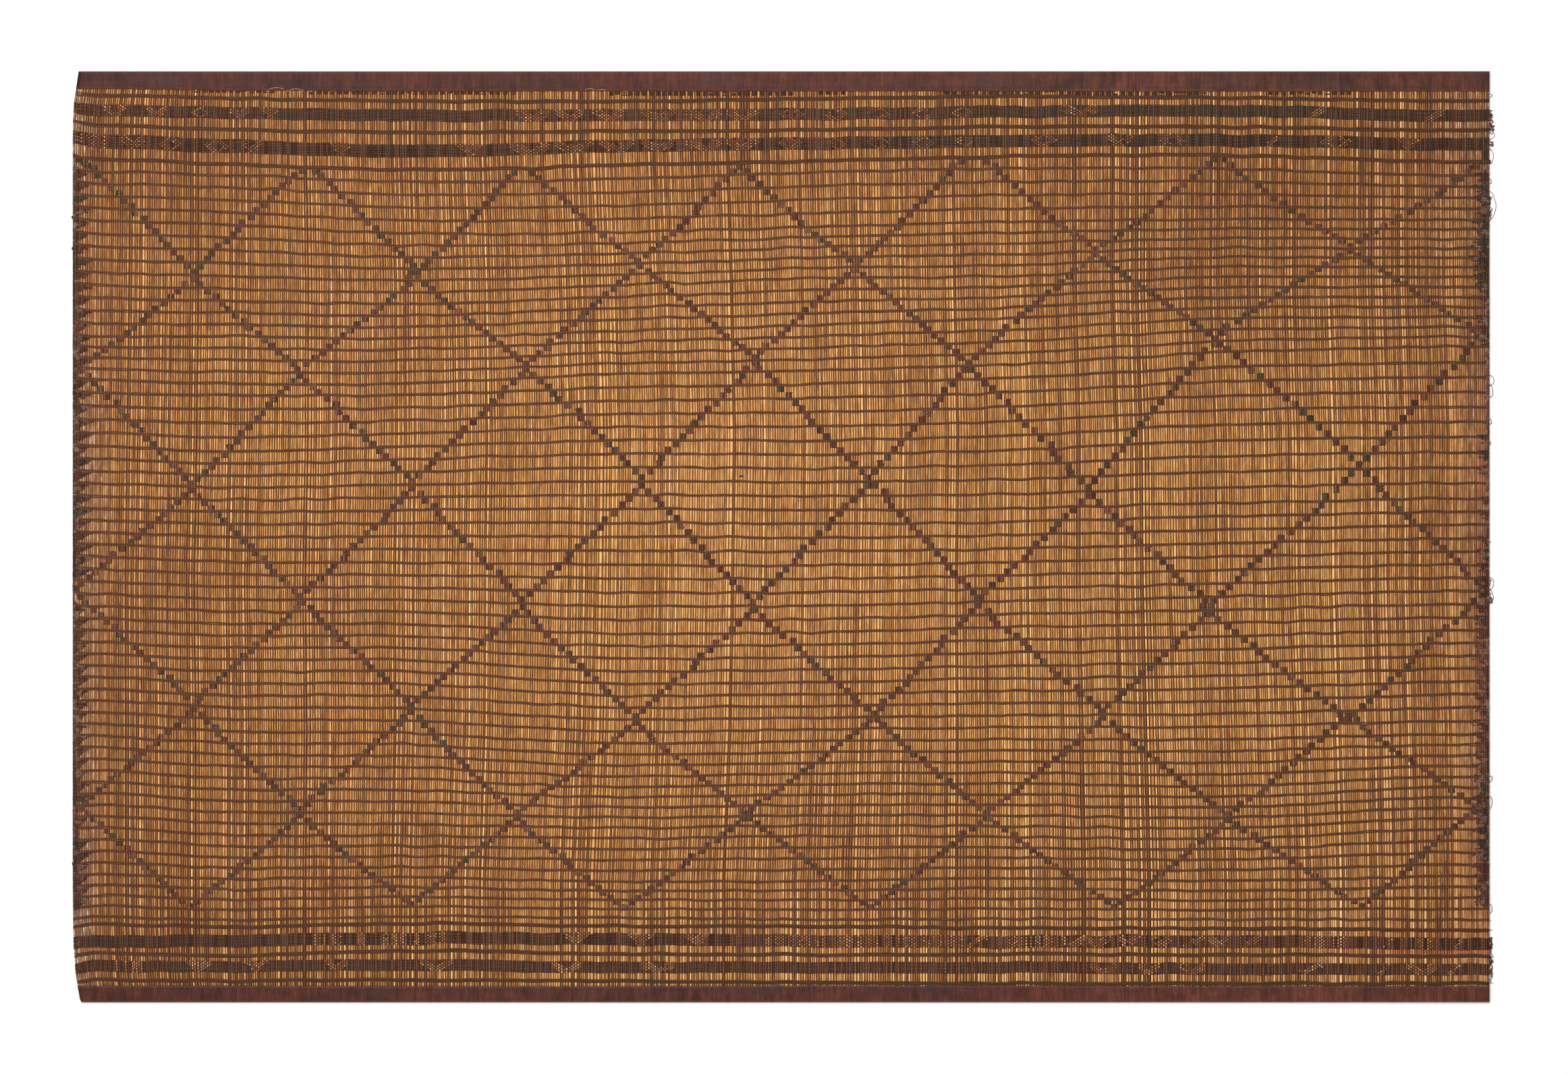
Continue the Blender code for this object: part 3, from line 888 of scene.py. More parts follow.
def thong_finish(name, woven=False, dust=0.0):
    """Dark leather thong: brown, olive and red stretches, with painted shade where it dips between the
    reeds.

    Where it is woven close, it also shows specks of the reeds that it passes under, painted shade and light
    for its over and under, and patches of pale dust where it has any.
    """
    brown, olive, red = THONG_COLOURS[name]
    material, tree, shader = start_material(name, 0.65)
    reed = value_of(tree, "reed")
    seed = sums(tree, "MULTIPLY", value_of(tree, "seed"), 300.0)
    stretch = noise(tree, vector(tree, sums(tree, "MULTIPLY", reed, 0.05), seed), 1.0, 3.0, 0.6)
    kind = sums(tree, "ADD", stretch, value_of(tree, "kind"))
    colour = ramp(tree, kind, ((0.36, red), (0.47, brown), (0.56, brown), (0.68, olive)))
    grain = noise(tree, where(tree), 900.0, 3.0, 0.6)
    colour = tint(tree, colour, grain, ((0.3, 0.7), (0.7, 1.35)))
    beat = sums(tree, "PINGPONG", reed, 0.5)
    phase = beat
    if woven:
        # Painted shade and light for the close weave's over and under
        colour = tint(tree, colour, beat, ((0.05, 0.7), (0.4, 1.15)))
        phase = sums(tree, "PINGPONG", sums(tree, "MULTIPLY_ADD", reed, 2.0, -0.5), 0.5)
    # Painted shade where the thong dips between two reeds, and lighter over each reed
    colour = tint(tree, colour, phase, ((0.06, 0.42 if woven else 0.6), (0.3, 1.04)))
    if woven:
        column = noise(tree, scaled(tree, where(tree), (230.0, 6.0, 1.0)), 1.0, 1.0)
        colour = tint(tree, colour, column, ((0.36, 0.68), (0.64, 1.4)))
        shown = ramp(tree, column, ((0.42, 0.0), (0.58, 1.0)))
        shown = sums(tree, "MULTIPLY", shown, value_of(tree, "speckle"))
        speck = sums(tree, "MULTIPLY", ramp(tree, beat, ((0.08, 1.0), (0.15, 0.0))), shown)
        colour = blend(tree, speck, colour, BARE_REED)
    if dust:
        spots = noise(tree, where(tree), 95.0, 3.0, 0.6)
        colour = blend(tree, ramp(tree, spots, ((0.52, 0.0), (0.68, dust))), colour, PALE_DUST)
    colour_and_bump(tree, shader, colour, sums(tree, "MULTIPLY_ADD", grain, 0.25, phase), 0.0008, 0.8)
    return material


def binding_finish():
    """Worn red-brown leather: darker patches, creases across the strip and a pale painted highlight along
    the fold.
    """
    material, tree, shader = start_material("binding_leather", 0.55)
    spot = where(tree)
    patch = noise(tree, scaled(tree, spot, (1.0, 3.0, 1.0)), 5.0, 4.0, 0.6)
    blotch = noise(tree, spot, 45.0, 3.0, 0.6)
    crease = noise(tree, scaled(tree, spot, (1.0, 0.12, 1.0)), 110.0, 3.0, 0.6)
    rib = noise(tree, scaled(tree, spot, (1.0, 0.1, 1.0)), 300.0, 1.0)
    grain = noise(tree, spot, 700.0, 3.0, 0.6)
    run = sums(tree, "MULTIPLY_ADD", along_axis(tree, 0), SHARE_PER_METRE, 0.5)
    upper, lower = (ramp(tree, run, stops) for stops in BINDING_TINTS)
    lit = blend(tree, sums(tree, "LESS_THAN", along_axis(tree, 1), 0.0), upper, lower)
    colour = blend(tree, 1.0, ramp(tree, patch, BINDING_COLOURS), lit, "MULTIPLY")
    colour = tint(tree, colour, blotch, ((0.32, 0.78), (0.68, 1.24)))
    colour = tint(tree, colour, crease, ((0.34, 0.74), (0.62, 1.18)))
    colour = tint(tree, colour, rib, ((0.36, 0.84), (0.64, 1.18)))
    colour = blend(tree, value_of(tree, "stain"), colour, STAIN_COLOUR)
    colour = tint(tree, colour, grain, ((0.3, 0.8), (0.7, 1.25)))
    # Painted highlight along the rounded edges of the fold
    colour = blend(tree, value_of(tree, "worn"), colour, FOLD_HIGHLIGHT_COLOUR)
    colour_and_bump(tree, shader, colour, sums(tree, "MULTIPLY_ADD", grain, 0.3, crease), 0.0006, 0.7)
    return material


def plain_finish(name, colour, roughness, scale, spread):
    """One colour with a soft mottle, for small things and the floor."""
    material, tree, shader = start_material(name, roughness)
    mottled = tint(tree, colour, noise(tree, where(tree), scale), ((0.3, 1 - spread), (0.7, 1 + spread)))
    put(tree, shader.inputs["Base Color"], mottled)
    return material


# Pieces


def reed_tones(draw):
    """Tone of each reed, from 0 for dark to 1 for bright straw: a reed mostly differs from the next."""
    own = draw.normal(0, REED_SPREAD, REED_COUNT + 2)
    return 0.5 + own[1:-1] - REED_AGAINST_NEXT * (own[:-2] + own[2:])


def patched(patches, across, depth):
    """Sum of soft patches, each with its place, half sizes and amount."""
    total = 0.0
    for middle, at, half_width, half_depth, amount in patches:
        far = ((across - middle) / half_width) ** 2 + ((depth - at) / half_depth) ** 2
        total = total + amount * np.exp(-far)
    return total


def reed_shell():
    """A tube with a round back, brought to one edge below, where a reed has no need of more."""
    shell = tube(REED_SIDES, len(REED_DEPTHS))
    lowest = {round(vert.co.x, 3): vert for vert in shell.verts if vert.co.z < -0.9}
    low = [vert for vert in shell.verts if -0.9 < vert.co.z < -0.5]
    bmesh.ops.weld_verts(shell, targetmap={vert: lowest[round(vert.co.x, 3)] for vert in low})
    return shell


def make_reeds(material):
    """Every reed of the mat, with its bow, its tone and what weather, hands and dye did to it."""
    piece, unit = repeated("reeds", reed_shell(), REED_COUNT)
    draw = np.random.default_rng(3)
    each = (REED_COUNT, 1)
    reed = np.arange(REED_COUNT)[:, None]
    depth = np.interp(unit[None, :, 0], np.linspace(0, 1, len(REED_DEPTHS)), REED_DEPTHS)
    middle = reed_across(reed, depth)
    width = REED_FULLNESS * reed_width(reed) * draw.uniform(0.94, 1.04, each)
    rise = REED_HALF_HEIGHT * draw.uniform(0.88, 1.0, each)
    across = np.clip(middle + unit[None, :, 1] * width, left_edge(depth), LENGTH)
    set_points(piece, place(across, depth, REED_MIDDLE + unit[None, :, 2] * rise))

    contrast = by_pairs(depth, REED_CONTRAST) * by_pairs(middle, RIGHT_CONTRAST)
    tones = 0.5 + (reed_tones(draw)[:, None] - 0.5) * contrast
    tones = tones + patched(PATCHES, middle, depth)
    apart = np.random.default_rng(6).random(each)
    tones = tones + (apart < DARK_SHARE) * by_pairs(depth, DARK_REEDS)
    brighter = by_pairs(depth, BRIGHT_REEDS) * by_pairs(middle, BRIGHT_ACROSS)
    tones = tones + (apart > 1 - BRIGHT_SHARE) * brighter
    for at in BRIGHT_STRAWS:
        tones = tones + STRAW_LIFT * (reed == int(reed_at(at, STRAW_START))) * (depth > STRAW_START)

    seed = draw.uniform(0, 1, each)
    pink = 0.75 * draw.beta(1.2, 3.0, each)
    taken = draw.uniform(0.3, 1.2, each)
    grey = LEFT_GREY * np.exp(-across / LEFT_GREY_REACH)
    grey = grey + RIGHT_GREY * np.exp(-(LENGTH - across) / RIGHT_GREY_REACH)
    grey = grey + patched(GREY_PATCHES, across, depth)
    grey = np.minimum(grey * draw.uniform(0.5, 1.3, each), 0.95)
    # crown is the height across each reed, which the finish paints as a highlight on top and as shade at
    # the sides
    set_values(
        piece, across.shape, tone=tones, seed=seed, along=depth * MM, crown=unit[None, :, 2], pink=pink,
        dyed=patched(RED_PATCHES, across, depth) * taken,
        dyed_strip=patched(RED_STRETCHES, across, depth) * taken, grey=grey,
    )
    return dress(piece, "reed", material, "mat")


def lay_strands(
    name, lines, offsets, half, rings, material, seed,
    middle=STRAND_MIDDLE, rise=STRAND_RISE, margin=0.6, closing=0.2, fray=1.0, woven=False, kinds=0.0,
):
    """Thongs that run right across the mat, one for each line and offset given.

    `closing` is how far the thongs of a row part and close along it, and `fray` how much more they
    stray at the left edge.
    """
    count = len(lines)
    piece, unit = repeated(name, tube(4, rings), count)
    draw = np.random.default_rng(seed)
    number = np.arange(count)[:, None]
    lines, offsets, half = (np.broadcast_to(value, count)[:, None] for value in (lines, offsets, half))
    reed = unit[None, :, 0] * REED_COUNT
    knots = np.linspace(0, LENGTH, CLOSING_PLACES)
    closeness = wander_table(draw, count, CLOSING_PLACES, closing, 0.0)
    jitter = wander_table(draw, count, rings, STRAND_JITTER, 0.5)[:, ring_of(unit[:, 0], rings)]
    across = reed_across(reed - 0.5, HALF_WAY)
    squeeze = 1 - np.clip(read_table(closeness, knots, number, across) + closing * 0.5, *CLOSING_LIMITS)
    squeeze = squeeze * left_spread(lines, across)
    if closing >= OPEN_CLOSING:
        squeeze = squeeze * by_pairs(across, ROW_OPENING)
    loose = 1 + fray * np.clip(1 - across / FRAY_REACH, 0, 1)
    centre = line_depth(lines, across) + offsets * squeeze + jitter * loose
    across = np.clip(reed_across(reed - 0.5, centre), left_edge(centre) + margin, LENGTH - margin)
    width = half * draw.uniform(0.88, 1.1, (count, 1)) * (1.06 - 0.06 * loose)
    set_points(piece, place(across, centre - unit[None, :, 1] * width, middle + unit[None, :, 2] * rise))

    shape = (count, len(unit))
    kind = draw.uniform(-0.03, 0.03, (count, 1)) + kind_drift(across, centre) + kinds
    if woven:
        drawn, speckle = (
            read_table([table[line] for line in lines[:, 0]], STATIONS, number, across)
            for table in (BAND_KINDS, BAND_SPECKLES)
        )
        kind = kind * 0.5 + drawn
        reed = over_and_under(reed, number)
        set_values(piece, shape, speckle=speckle)
    set_values(piece, shape, reed=reed, seed=draw.uniform(0, 1, (count, 1)), kind=kind)
    return dress(piece, "thong_leather", material)


def over_and_under(reed, strand):
    """Beat of a close weave: a thong passes over every second reed, and its neighbours over the others."""
    return (reed + 0.5 + strand % 2) / 2


def left_spread(line, across):
    """How much broader than elsewhere the second band is, at a place across."""
    share = np.clip((SPREAD_FROM - across) / (SPREAD_FROM - SPREAD_TO), 0, 1)
    return 1 + SPREAD * share * (line == SPREAD_BAND)


def kind_drift(across, depth):
    """Thongs are redder at the left and lower down, and more olive at the upper right."""
    return 0.06 * (across / LENGTH - 0.5) - 0.05 * (depth / DEPTH - 0.4)


def spread_strands(lines, strands, pitches):
    """Line and offset of each thong where every line has several."""
    beside = np.arange(strands) - (strands - 1) / 2
    return np.repeat(lines, strands), np.outer(np.broadcast_to(pitches, len(lines)), beside).reshape(-1)


def make_plain_rows(material):
    """The plain rows, of two thongs each, in an upper and a lower piece."""
    half = FIRST_ROW + ROW_COUNT // 2
    pieces = []
    parts = (("upper_rows", FIRST_ROW, half, 21), ("lower_rows", half, FIRST_LOWER, 22))
    for name, first, end, seed in parts:
        lines, offsets = spread_strands(range(first, end), 2, 2 * ROW_STRAND_GAP)
        pieces.append(lay_strands(name, lines, offsets, STRAND_HALF, ROW_RINGS, material, seed))
    return pieces


def make_wide_rows(thick_material, band_material):
    """The thick rows, of three thongs, and the broad bands, of eight."""
    lines, offsets = spread_strands(THICK_ROWS, THICK_STRANDS, THICK_PITCH)
    thick = lay_strands(
        "thick_rows", lines, offsets, THICK_HALF, ROW_RINGS, thick_material, 23,
        closing=0.08, fray=4.0, kinds=np.repeat(THICK_KINDS, THICK_STRANDS)[:, None],
    )
    lines, offsets = spread_strands(BANDS, BAND_STRANDS, BAND_PITCHES)
    bands = lay_strands(
        "woven_bands", lines, offsets, BAND_HALF, ROW_RINGS, band_material, 24,
        rise=BAND_RISE, closing=0.03, fray=5.0, woven=True,
    )
    return [thick, bands]


def make_under_rows(material):
    """Where the rows show on the underside: one flat thong for each line of the weave."""
    halves = np.full(len(WEAVE), UNDER_HALF)
    halves[list(THICK_ROWS)] = UNDER_THICK_HALF
    halves[list(BANDS)] = UNDER_BAND_HALF
    return lay_strands(
        "under_rows", range(len(WEAVE)), 0, halves, UNDER_RINGS, material, 25,
        middle=UNDER_MIDDLE, rise=UNDER_RISE, margin=UNDER_MARGIN,
    )


def lay_dashes(
    name, material, across, depth, length, half, kind, seed,
    sink=1.1, middle=STRAND_MIDDLE, strand=None, speckle=0.0, lean=0.0,
):
    """Short pieces of thong that lie across the reeds, with their ends tucked down between them."""
    count = len(across)
    piece, unit = repeated(name, tube(4, 4), count)
    draw = np.random.default_rng(seed)
    across, depth, length, half, kind, speckle, lean = (
        np.broadcast_to(np.asarray(values, float), (count,))[:, None]
        for values in (across, depth, length, half, kind, speckle, lean)
    )
    share = np.interp(unit[:, 0], TUBE_QUARTERS, (0, 0.1, 0.9, 1))[None]
    ends = np.interp(unit[:, 0], TUBE_QUARTERS, (-sink, 0, 0, -sink))[None]
    places = across + (share - 0.5) * length
    depth = depth + (places - across) * lean
    wide = half * draw.uniform(0.88, 1.12, (count, 1))
    height = middle + unit[None, :, 2] * STRAND_RISE + ends
    set_points(piece, place(places, depth - unit[None, :, 1] * wide, height))
    shape = (count, len(unit))
    reed = reed_at(np.clip(places, 1, LENGTH - 1), depth)
    if strand is not None:
        reed = over_and_under(reed, strand[:, None])
        set_values(piece, shape, speckle=speckle)
    kind = kind + kind_drift(places, depth)
    set_values(piece, shape, reed=reed, seed=draw.uniform(0, 1, (count, 1)), kind=kind)
    return dress(piece, "thong_leather", material)


def lattice_blocks():
    """List the lattice's blocks: the row that each hangs on, whether below it, and its place."""
    def row_of(column, level):
        return ODD_CROSSINGS.get((column, level), LEVEL_ROWS[level])

    blocks = set()
    for column, levels in enumerate(CROSSINGS):
        for level in levels:
            for side in (-1, 1):
                beside = column + side
                if not 0 <= beside < len(CROSSINGS) or level + 1 not in CROSSINGS[beside]:
                    continue
                leg = (column, level, side)
                top, foot = ODD_LEGS.get(leg, (row_of(column, level), row_of(beside, level + 1)))
                top_shift, foot_shift = STRAY_LEGS.get(leg, (0, 0))
                start = CROSSINGS[column][level] + top_shift
                end = CROSSINGS[beside][level + 1] + foot_shift
                steps = 2 * (foot - top) - 1
                for step in range(steps + 1):
                    row = top + (step + 1) // 2
                    blocks.add((row, step % 2 == 0, round(start + (end - start) * step / steps)))
    return sorted(blocks)


def make_lattice(material):
    """The blocks of the lattice, of a few short thongs each."""
    blocks = lattice_blocks()
    draw = np.random.default_rng(31)
    row, below, centre = columns_of(blocks)
    line = FIRST_ROW + row
    line_at = line_depth(line, centre)
    side = np.where(below, 1, -1)
    spacing = np.abs(line_depth(line + side, centre) - line_at)
    near = BLOCK_NEAR * spacing + np.where(row < 0, THICK_HALF, 0)
    reed = np.floor(reed_at(centre, line_at))
    reed = reed + draw.choice((-1, 0, 1), len(blocks), p=(0.18, 0.64, 0.18)) * ~below
    olive = draw.random(len(blocks)) < by_pairs(centre, OLIVE_BLOCKS)
    kind = np.where(olive, 0.17, draw.choice((-0.12, -0.02, 0.02), len(blocks), p=(0.15, 0.45, 0.4)))
    speckle = draw.choice((0.0, 0.5, 1.0), len(blocks), p=(0.55, 0.25, 0.2))
    table = []
    for strand in range(BLOCK_STRANDS):
        depth = line_at + side * (near + BLOCK_PITCH * spacing * strand)
        across = reed_across(reed, depth) + draw.normal(0, 0.35, len(blocks))
        table.append((np.clip(across, BLOCK_WIDTH / 2, LENGTH - BLOCK_WIDTH / 2), depth))
    across, depth = (np.concatenate(values) for values in zip(*table))
    kinds = np.tile(kind, BLOCK_STRANDS) + draw.normal(0, 0.015, len(across))
    length = BLOCK_WIDTH + draw.normal(0, 0.5, len(across))
    strand = np.repeat(np.arange(BLOCK_STRANDS), len(blocks))
    return lay_dashes(
        "lattice_blocks", material, across, depth, length, BLOCK_HALF, kinds, 32,
        strand=strand, speckle=np.tile(speckle, BLOCK_STRANDS),
    )


def make_loose_patches(material):
    """Small patches of thong that stand apart from the lattice."""
    dashes = [
        (across, depth + PATCH_PITCH * strand, length, kind, strand)
        for across, depth, length, strands, kind in LOOSE_PATCHES
        for strand in range(strands)
    ]
    across, depth, length, kind, strand = columns_of(dashes)
    return lay_dashes(
        "loose_patches", material, across, depth, length, PATCH_HALF, kind, 45,
        strand=strand, speckle=np.where(kind > 0.06, 0.1, 0.6),
    )


def make_tufts(material):
    """Tongues of thong below the upper binding, with every third reed left bare between them."""
    draw = np.random.default_rng(41)
    dashes = []
    for start, end, strands in TUFT_STRETCHES:
        for reed in np.arange(reed_at(start, TUFT_DEPTH), reed_at(end, TUFT_DEPTH), TUFT_REEDS):
            lip = read_line(UPPER_LIP, STATIONS, reed_across(reed, TUFT_DEPTH))
            for strand in range(strands):
                if draw.random() < TUFT_SHARE:
                    depth = lip + TUFT_START + TUFT_PITCH * strand
                    dashes.append((reed_across(reed, depth), depth))
    across, depth = zip(*dashes)
    length = draw.uniform(8.8, 10.4, len(dashes))
    kind = draw.choice((-0.12, -0.03, 0.12), len(dashes), p=(0.45, 0.4, 0.15))
    return lay_dashes("upper_tufts", material, across, depth, length, TUFT_HALF, kind, 42)


def in_motif(kind, side, down):
    """Whether a place belongs to a motif: side runs from -1 to 1, and down from 0 to 1."""
    far = abs(side)
    if kind == "vee":
        return abs(far - (1 - down)) < 0.48
    if kind == "ring":
        return abs(far + abs(2 * down - 1) * 0.8 - 0.85) < 0.34
    if kind == "down":
        return far < 1.08 - 0.85 * down
    if kind == "slant":
        return abs(side - (1 - 2 * down)) < 0.6
    return True


def motif_dots(draw):
    """List the bare reeds of the bands: line, reed and the thong that passes below.

    Only every second reed shows beside a thong, and at the next thong the others do.
    """
    dots = []
    hidden = draw.random(REED_COUNT) < HIDDEN_COLUMNS
    for line in BANDS:
        shown = set()
        for start, end, kind in MOTIFS[line]:
            first, last = (int(reed_at(edge, line_depth(line, edge))) for edge in (start, end))
            for reed in range(first, last + 1):
                if kind == "field" and hidden[reed]:
                    continue
                side = 2 * (reed - first) / max(last - first, 1) - 1
                for strand in range(BAND_STRANDS):
                    below = (reed + strand) % 2
                    inside = below and in_motif(kind, side, strand / (BAND_STRANDS - 1))
                    if inside and draw.random() < DOT_SHARE:
                        shown.add((reed, strand))
        dots += [(line, reed, strand) for reed, strand in sorted(shown)]
    return dots


def make_reed_dots(material):
    """Bare crowns of reeds between the thongs of the bands, which draw their zigzags and diamonds."""
    draw = np.random.default_rng(51)
    line, reed, strand = columns_of(motif_dots(draw))
    band = [BANDS.index(one) for one in line]
    pitch = np.array(BAND_PITCHES)[band]
    fullness, half_length, shift = (column[:, None] for column in np.array(DOT_SHAPES)[band].T)
    piece, unit = repeated("bare_reed_dots", tube(6, 4), len(line))
    rough = reed_across(reed, DOT_DEPTH)
    beside = (strand - (BAND_STRANDS - 1) / 2) * pitch
    depth = line_depth(line, rough) + beside * left_spread(line, rough)
    across = reed_across(reed, depth)
    size = draw.uniform(0.85, 1.1, (len(line), 1))
    half = np.clip(fullness * reed_width(reed)[:, None], 0.95, 2.2)
    ends = np.interp(unit[:, 0], TUBE_QUARTERS, (0.5, 1, 1, 0.5))[None]
    steps = np.interp(unit[:, 0], TUBE_QUARTERS, (-1, -0.5, 0.5, 1))[None]
    set_points(piece, place(
        across[:, None] + unit[None, :, 1] * half * size * ends,
        depth[:, None] + steps * half_length * size,
        DOT_MIDDLE + unit[None, :, 2] * DOT_RISE * ends,
    ))
    tone = draw.uniform(0.32, 0.62, size.shape) + draw.normal(0, 0.12, REED_COUNT)[reed][:, None] + shift
    # crown at 1 gives every dot the painted highlight of a reed's top
    set_values(
        piece, (len(line), len(unit)), tone=tone, seed=draw.uniform(0, 1, size.shape),
        along=depth[:, None] * MM, crown=1.0, pink=0.7, grey=0.0, dyed=0.12,
    )
    return dress(piece, "reed", material)


def swept(name, corners, rings):
    """One closed bar to shape, with each point's corner number and share along."""
    piece, unit = repeated(name, tube(corners, rings), 1)
    turn = np.arctan2(unit[:, 2], unit[:, 1]) / (2 * math.pi)
    return piece, np.rint(turn * corners).astype(int) % corners, unit[:, 0]


def point_outwards(piece):
    shell = bmesh.new()
    shell.from_mesh(piece.data)
    bmesh.ops.recalc_face_normals(shell, faces=shell.faces[:])
    shell.to_mesh(piece.data)
    shell.free()


def make_binding(name, node, outer, towards, lips, seed, material):
    """Leather folded over the reeds' ends, with small creases and an uneven inner edge."""
    share, shift, height, highlight_share = columns_of(FOLD_SECTION)
    piece, corner, along = swept(name, len(FOLD_SECTION), BINDING_RINGS)
    draw = np.random.default_rng(seed)
    lip = read_line(lips, STATIONS, along * LENGTH)
    knots = np.linspace(0, 1, BINDING_RINGS)
    ragged = np.interp(along, knots, draw.normal(0, 0.35, BINDING_RINGS))
    crease = wander_table(draw, len(FOLD_SECTION), BINDING_RINGS, 0.16, 0.7)
    depth = outer + towards * shift[corner] + (lip - outer + ragged) * share[corner]
    tops = (height[corner] > FOLD_TOP - 0.3) * (share[corner] < 0.97)
    rise = height[corner] - tops * np.abs(crease[corner, ring_of(along, BINDING_RINGS)])
    left = left_edge(depth)
    across = left + (LENGTH - BINDING_INSET - left) * along
    set_points(piece, place(across, depth, rise))
    # Painted highlight along the fold's rounded edges, by corner of the section
    worn = highlight_share[corner] * draw.uniform(0.3, 1.0, len(along))
    set_values(piece, along.shape, worn=worn, stain=patched(STAINS, across, depth))
    point_outwards(piece)
    return dress(piece, "binding_leather", material, node)


def make_stitches(name, lips, towards, inset, pitch, seed, material):
    """Short dark stitches, in pairs, along the inner edge of a binding."""
    draw = np.random.default_rng(seed)
    across = np.arange(STITCH_START, LENGTH - STITCH_END_GAP, pitch)
    across = across + draw.normal(0, 0.6, len(across))
    across = np.concatenate([across, across + STITCH_STEP_ACROSS])
    depth = read_line(lips, STATIONS, across) - towards * inset + draw.normal(0, 0.25, len(across))
    depth[len(depth) // 2:] += STITCH_STEP_DOWN
    length = draw.uniform(1.5, 2.6, len(across))
    return lay_dashes(
        name, material, across, depth, length, STITCH_HALF, 0.05, seed, sink=0.3, middle=STITCH_MIDDLE,
    )


def make_wrap(side, edge, inwards, material):
    """Thongs wound round a side edge: a folded section down the edge, ribbed and uneven."""
    inset, height = columns_of(WRAP_SECTION)
    piece, corner, along = swept(f"{side}_edge_wrap", len(WRAP_SECTION), WRAP_RINGS)
    draw = np.random.default_rng(WRAP_SEEDS[side])
    depth = WRAP_START + (WRAP_END - WRAP_START) * along
    rib = draw.normal(0, 0.3, WRAP_RINGS)[ring_of(along, WRAP_RINGS)]
    swell = np.interp(depth, np.linspace(WRAP_START, WRAP_END, 90), draw.normal(0, 0.7, 90))
    wide = by_pairs(depth, WRAP_WIDTHS[side])
    uneven = np.where(inset[corner] < 0.11, rib * 1.5 - np.abs(swell) * 0.6, rib * wide * 0.4)
    reach = np.maximum(WRAP_INSET + inset[corner] * wide + uneven, 0)
    rise = height[corner] - np.abs(rib) * (height[corner] > 3)
    set_points(piece, place(edge(depth) + inwards * reach, depth, rise))
    kinds = wander_table(draw, len(WRAP_SECTION), WRAP_KNOTS, 0.13, 0.5)
    kind = read_table(kinds, np.linspace(WRAP_START, WRAP_END, WRAP_KNOTS), corner, depth)
    set_values(piece, along.shape, reed=depth / WRAP_PITCH, seed=0.5, kind=kind, speckle=0.5)
    point_outwards(piece)
    return dress(piece, "thong_leather", material, f"edge_{side}")


def make_teeth(side, edge, inwards, material):
    """Rows of short thongs under each row at a side edge, each shorter than the one above."""
    seed = TOOTH_SEEDS[side]
    uneven = TOOTH_UNEVEN[side]
    strays = TOOTH_STRAYS[side]
    draw = np.random.default_rng(seed)
    dashes = []
    for row in range(ROW_COUNT - 1):
        row_at = line_depth(FIRST_ROW + row, edge(HALF_WAY) + inwards * TOOTH_HEART)
        missing = draw.random() > by_pairs(row_at, TOOTH_SHARES[side])
        if missing or not TOOTH_FIRST < row_at < TOOTH_LAST:
            continue
        if any(abs(row_at - gap) < TOOTH_GAP_REACH for gap in TOOTH_GAPS[side]):
            continue
        kind = draw.choice((-0.07, 0.0, 0.15), p=(0.35, 0.45, 0.2)) + by_pairs(row_at, TOOTH_KINDS[side])
        tip = by_pairs(row_at, TOOTH_TIPS[side]) * draw.uniform(0.85, 1.1)
        root = by_pairs(row_at, TOOTH_ROOTS[side])
        lean = -by_pairs(row_at, LEFT_BEND) / TOOTH_LEAN_RUN if side == "left" else 0.0
        for strand in range(TOOTH_STRANDS):
            reach = tip + (root - tip) * strand / (TOOTH_STRANDS - 1) + draw.normal(0, uneven)
            depth = row_at + TOOTH_START[side] + TOOTH_PITCH * strand + draw.normal(0, 0.2)
            length = max(reach - TOOTH_INSET, TOOTH_LEAST)
            centre = inwards * (TOOTH_INSET + length / 2)
            leant = depth + lean * (centre - TOOTH_HEART)
            own = kind + draw.normal(0, 0.03)
            dashes.append((edge(depth) + centre, leant, length, own, strand, lean))
            if strays and draw.random() < strays:
                stray = edge(depth) + inwards * (reach + draw.uniform(2, 6))
                dashes.append((stray, depth + draw.normal(0, 1), STRAY_LENGTH, kind, strand, 0.0))
    across, depth, length, kind, strand, lean = columns_of(dashes)
    return lay_dashes(
        f"{side}_edge_teeth", material, across, depth, length, TOOTH_HALF, kind, seed + 1,
        sink=0.35, middle=TOOTH_MIDDLE, strand=strand, speckle=0.2, lean=lean,
    )


def lay_loops(name, paths, radius, material, seed, slot="thong_leather"):
    """Round thongs along paths of (across, depth, height) points."""
    piece, unit = repeated(name, tube(6, LOOP_RINGS), len(paths))
    centres = []
    for path in paths:
        steps = np.linspace(0, len(path) - 1, LOOP_RINGS)
        columns = [read_line(column, range(len(path)), steps) for column in zip(*path)]
        centres.append(np.stack(columns, axis=-1))
    centres = np.array(centres)
    run = np.gradient(centres[:, :, :2], axis=1)
    run = run / np.maximum(np.linalg.norm(run, axis=2, keepdims=True), 1e-6)
    ring = ring_of(unit[:, 0], LOOP_RINGS)
    middle = centres[:, ring]
    along = run[:, ring]
    taper = radius * np.where((ring == 0) | (ring == LOOP_RINGS - 1), 0.6, 1.0)
    across = middle[:, :, 0] - along[:, :, 1] * unit[None, :, 1] * taper
    depth = middle[:, :, 1] + along[:, :, 0] * unit[None, :, 1] * taper
    height = middle[:, :, 2] + unit[None, :, 2] * taper
    set_points(piece, place(across, depth, np.maximum(height, 0.05)))
    seeds = np.random.default_rng(seed).uniform(0, 1, (len(paths), 1))
    set_values(piece, across.shape, reed=ring * 0.5, seed=seeds, kind=0.0)
    point_outwards(piece)
    return dress(piece, slot, material)


def bow(edge_at, outwards, start, end, reach, lean, draw):
    """A loop from the edge and back, which lies on the ground beside it."""
    root = edge_at - outwards * ROOT_INSET
    points = [(root, start, ROOT_HEIGHT)]
    for share in (0.12, 0.3, 0.5, 0.7, 0.88):
        out = reach * math.sin(math.pi * share) ** 0.7 * draw.uniform(0.85, 1.1)
        depth = start + (end - start) * share + lean * math.sin(math.pi * share)
        points.append((edge_at + outwards * out, depth, LOOP_HEIGHT + draw.uniform(0, 0.9)))
    return points + [(root, end, ROOT_HEIGHT)]


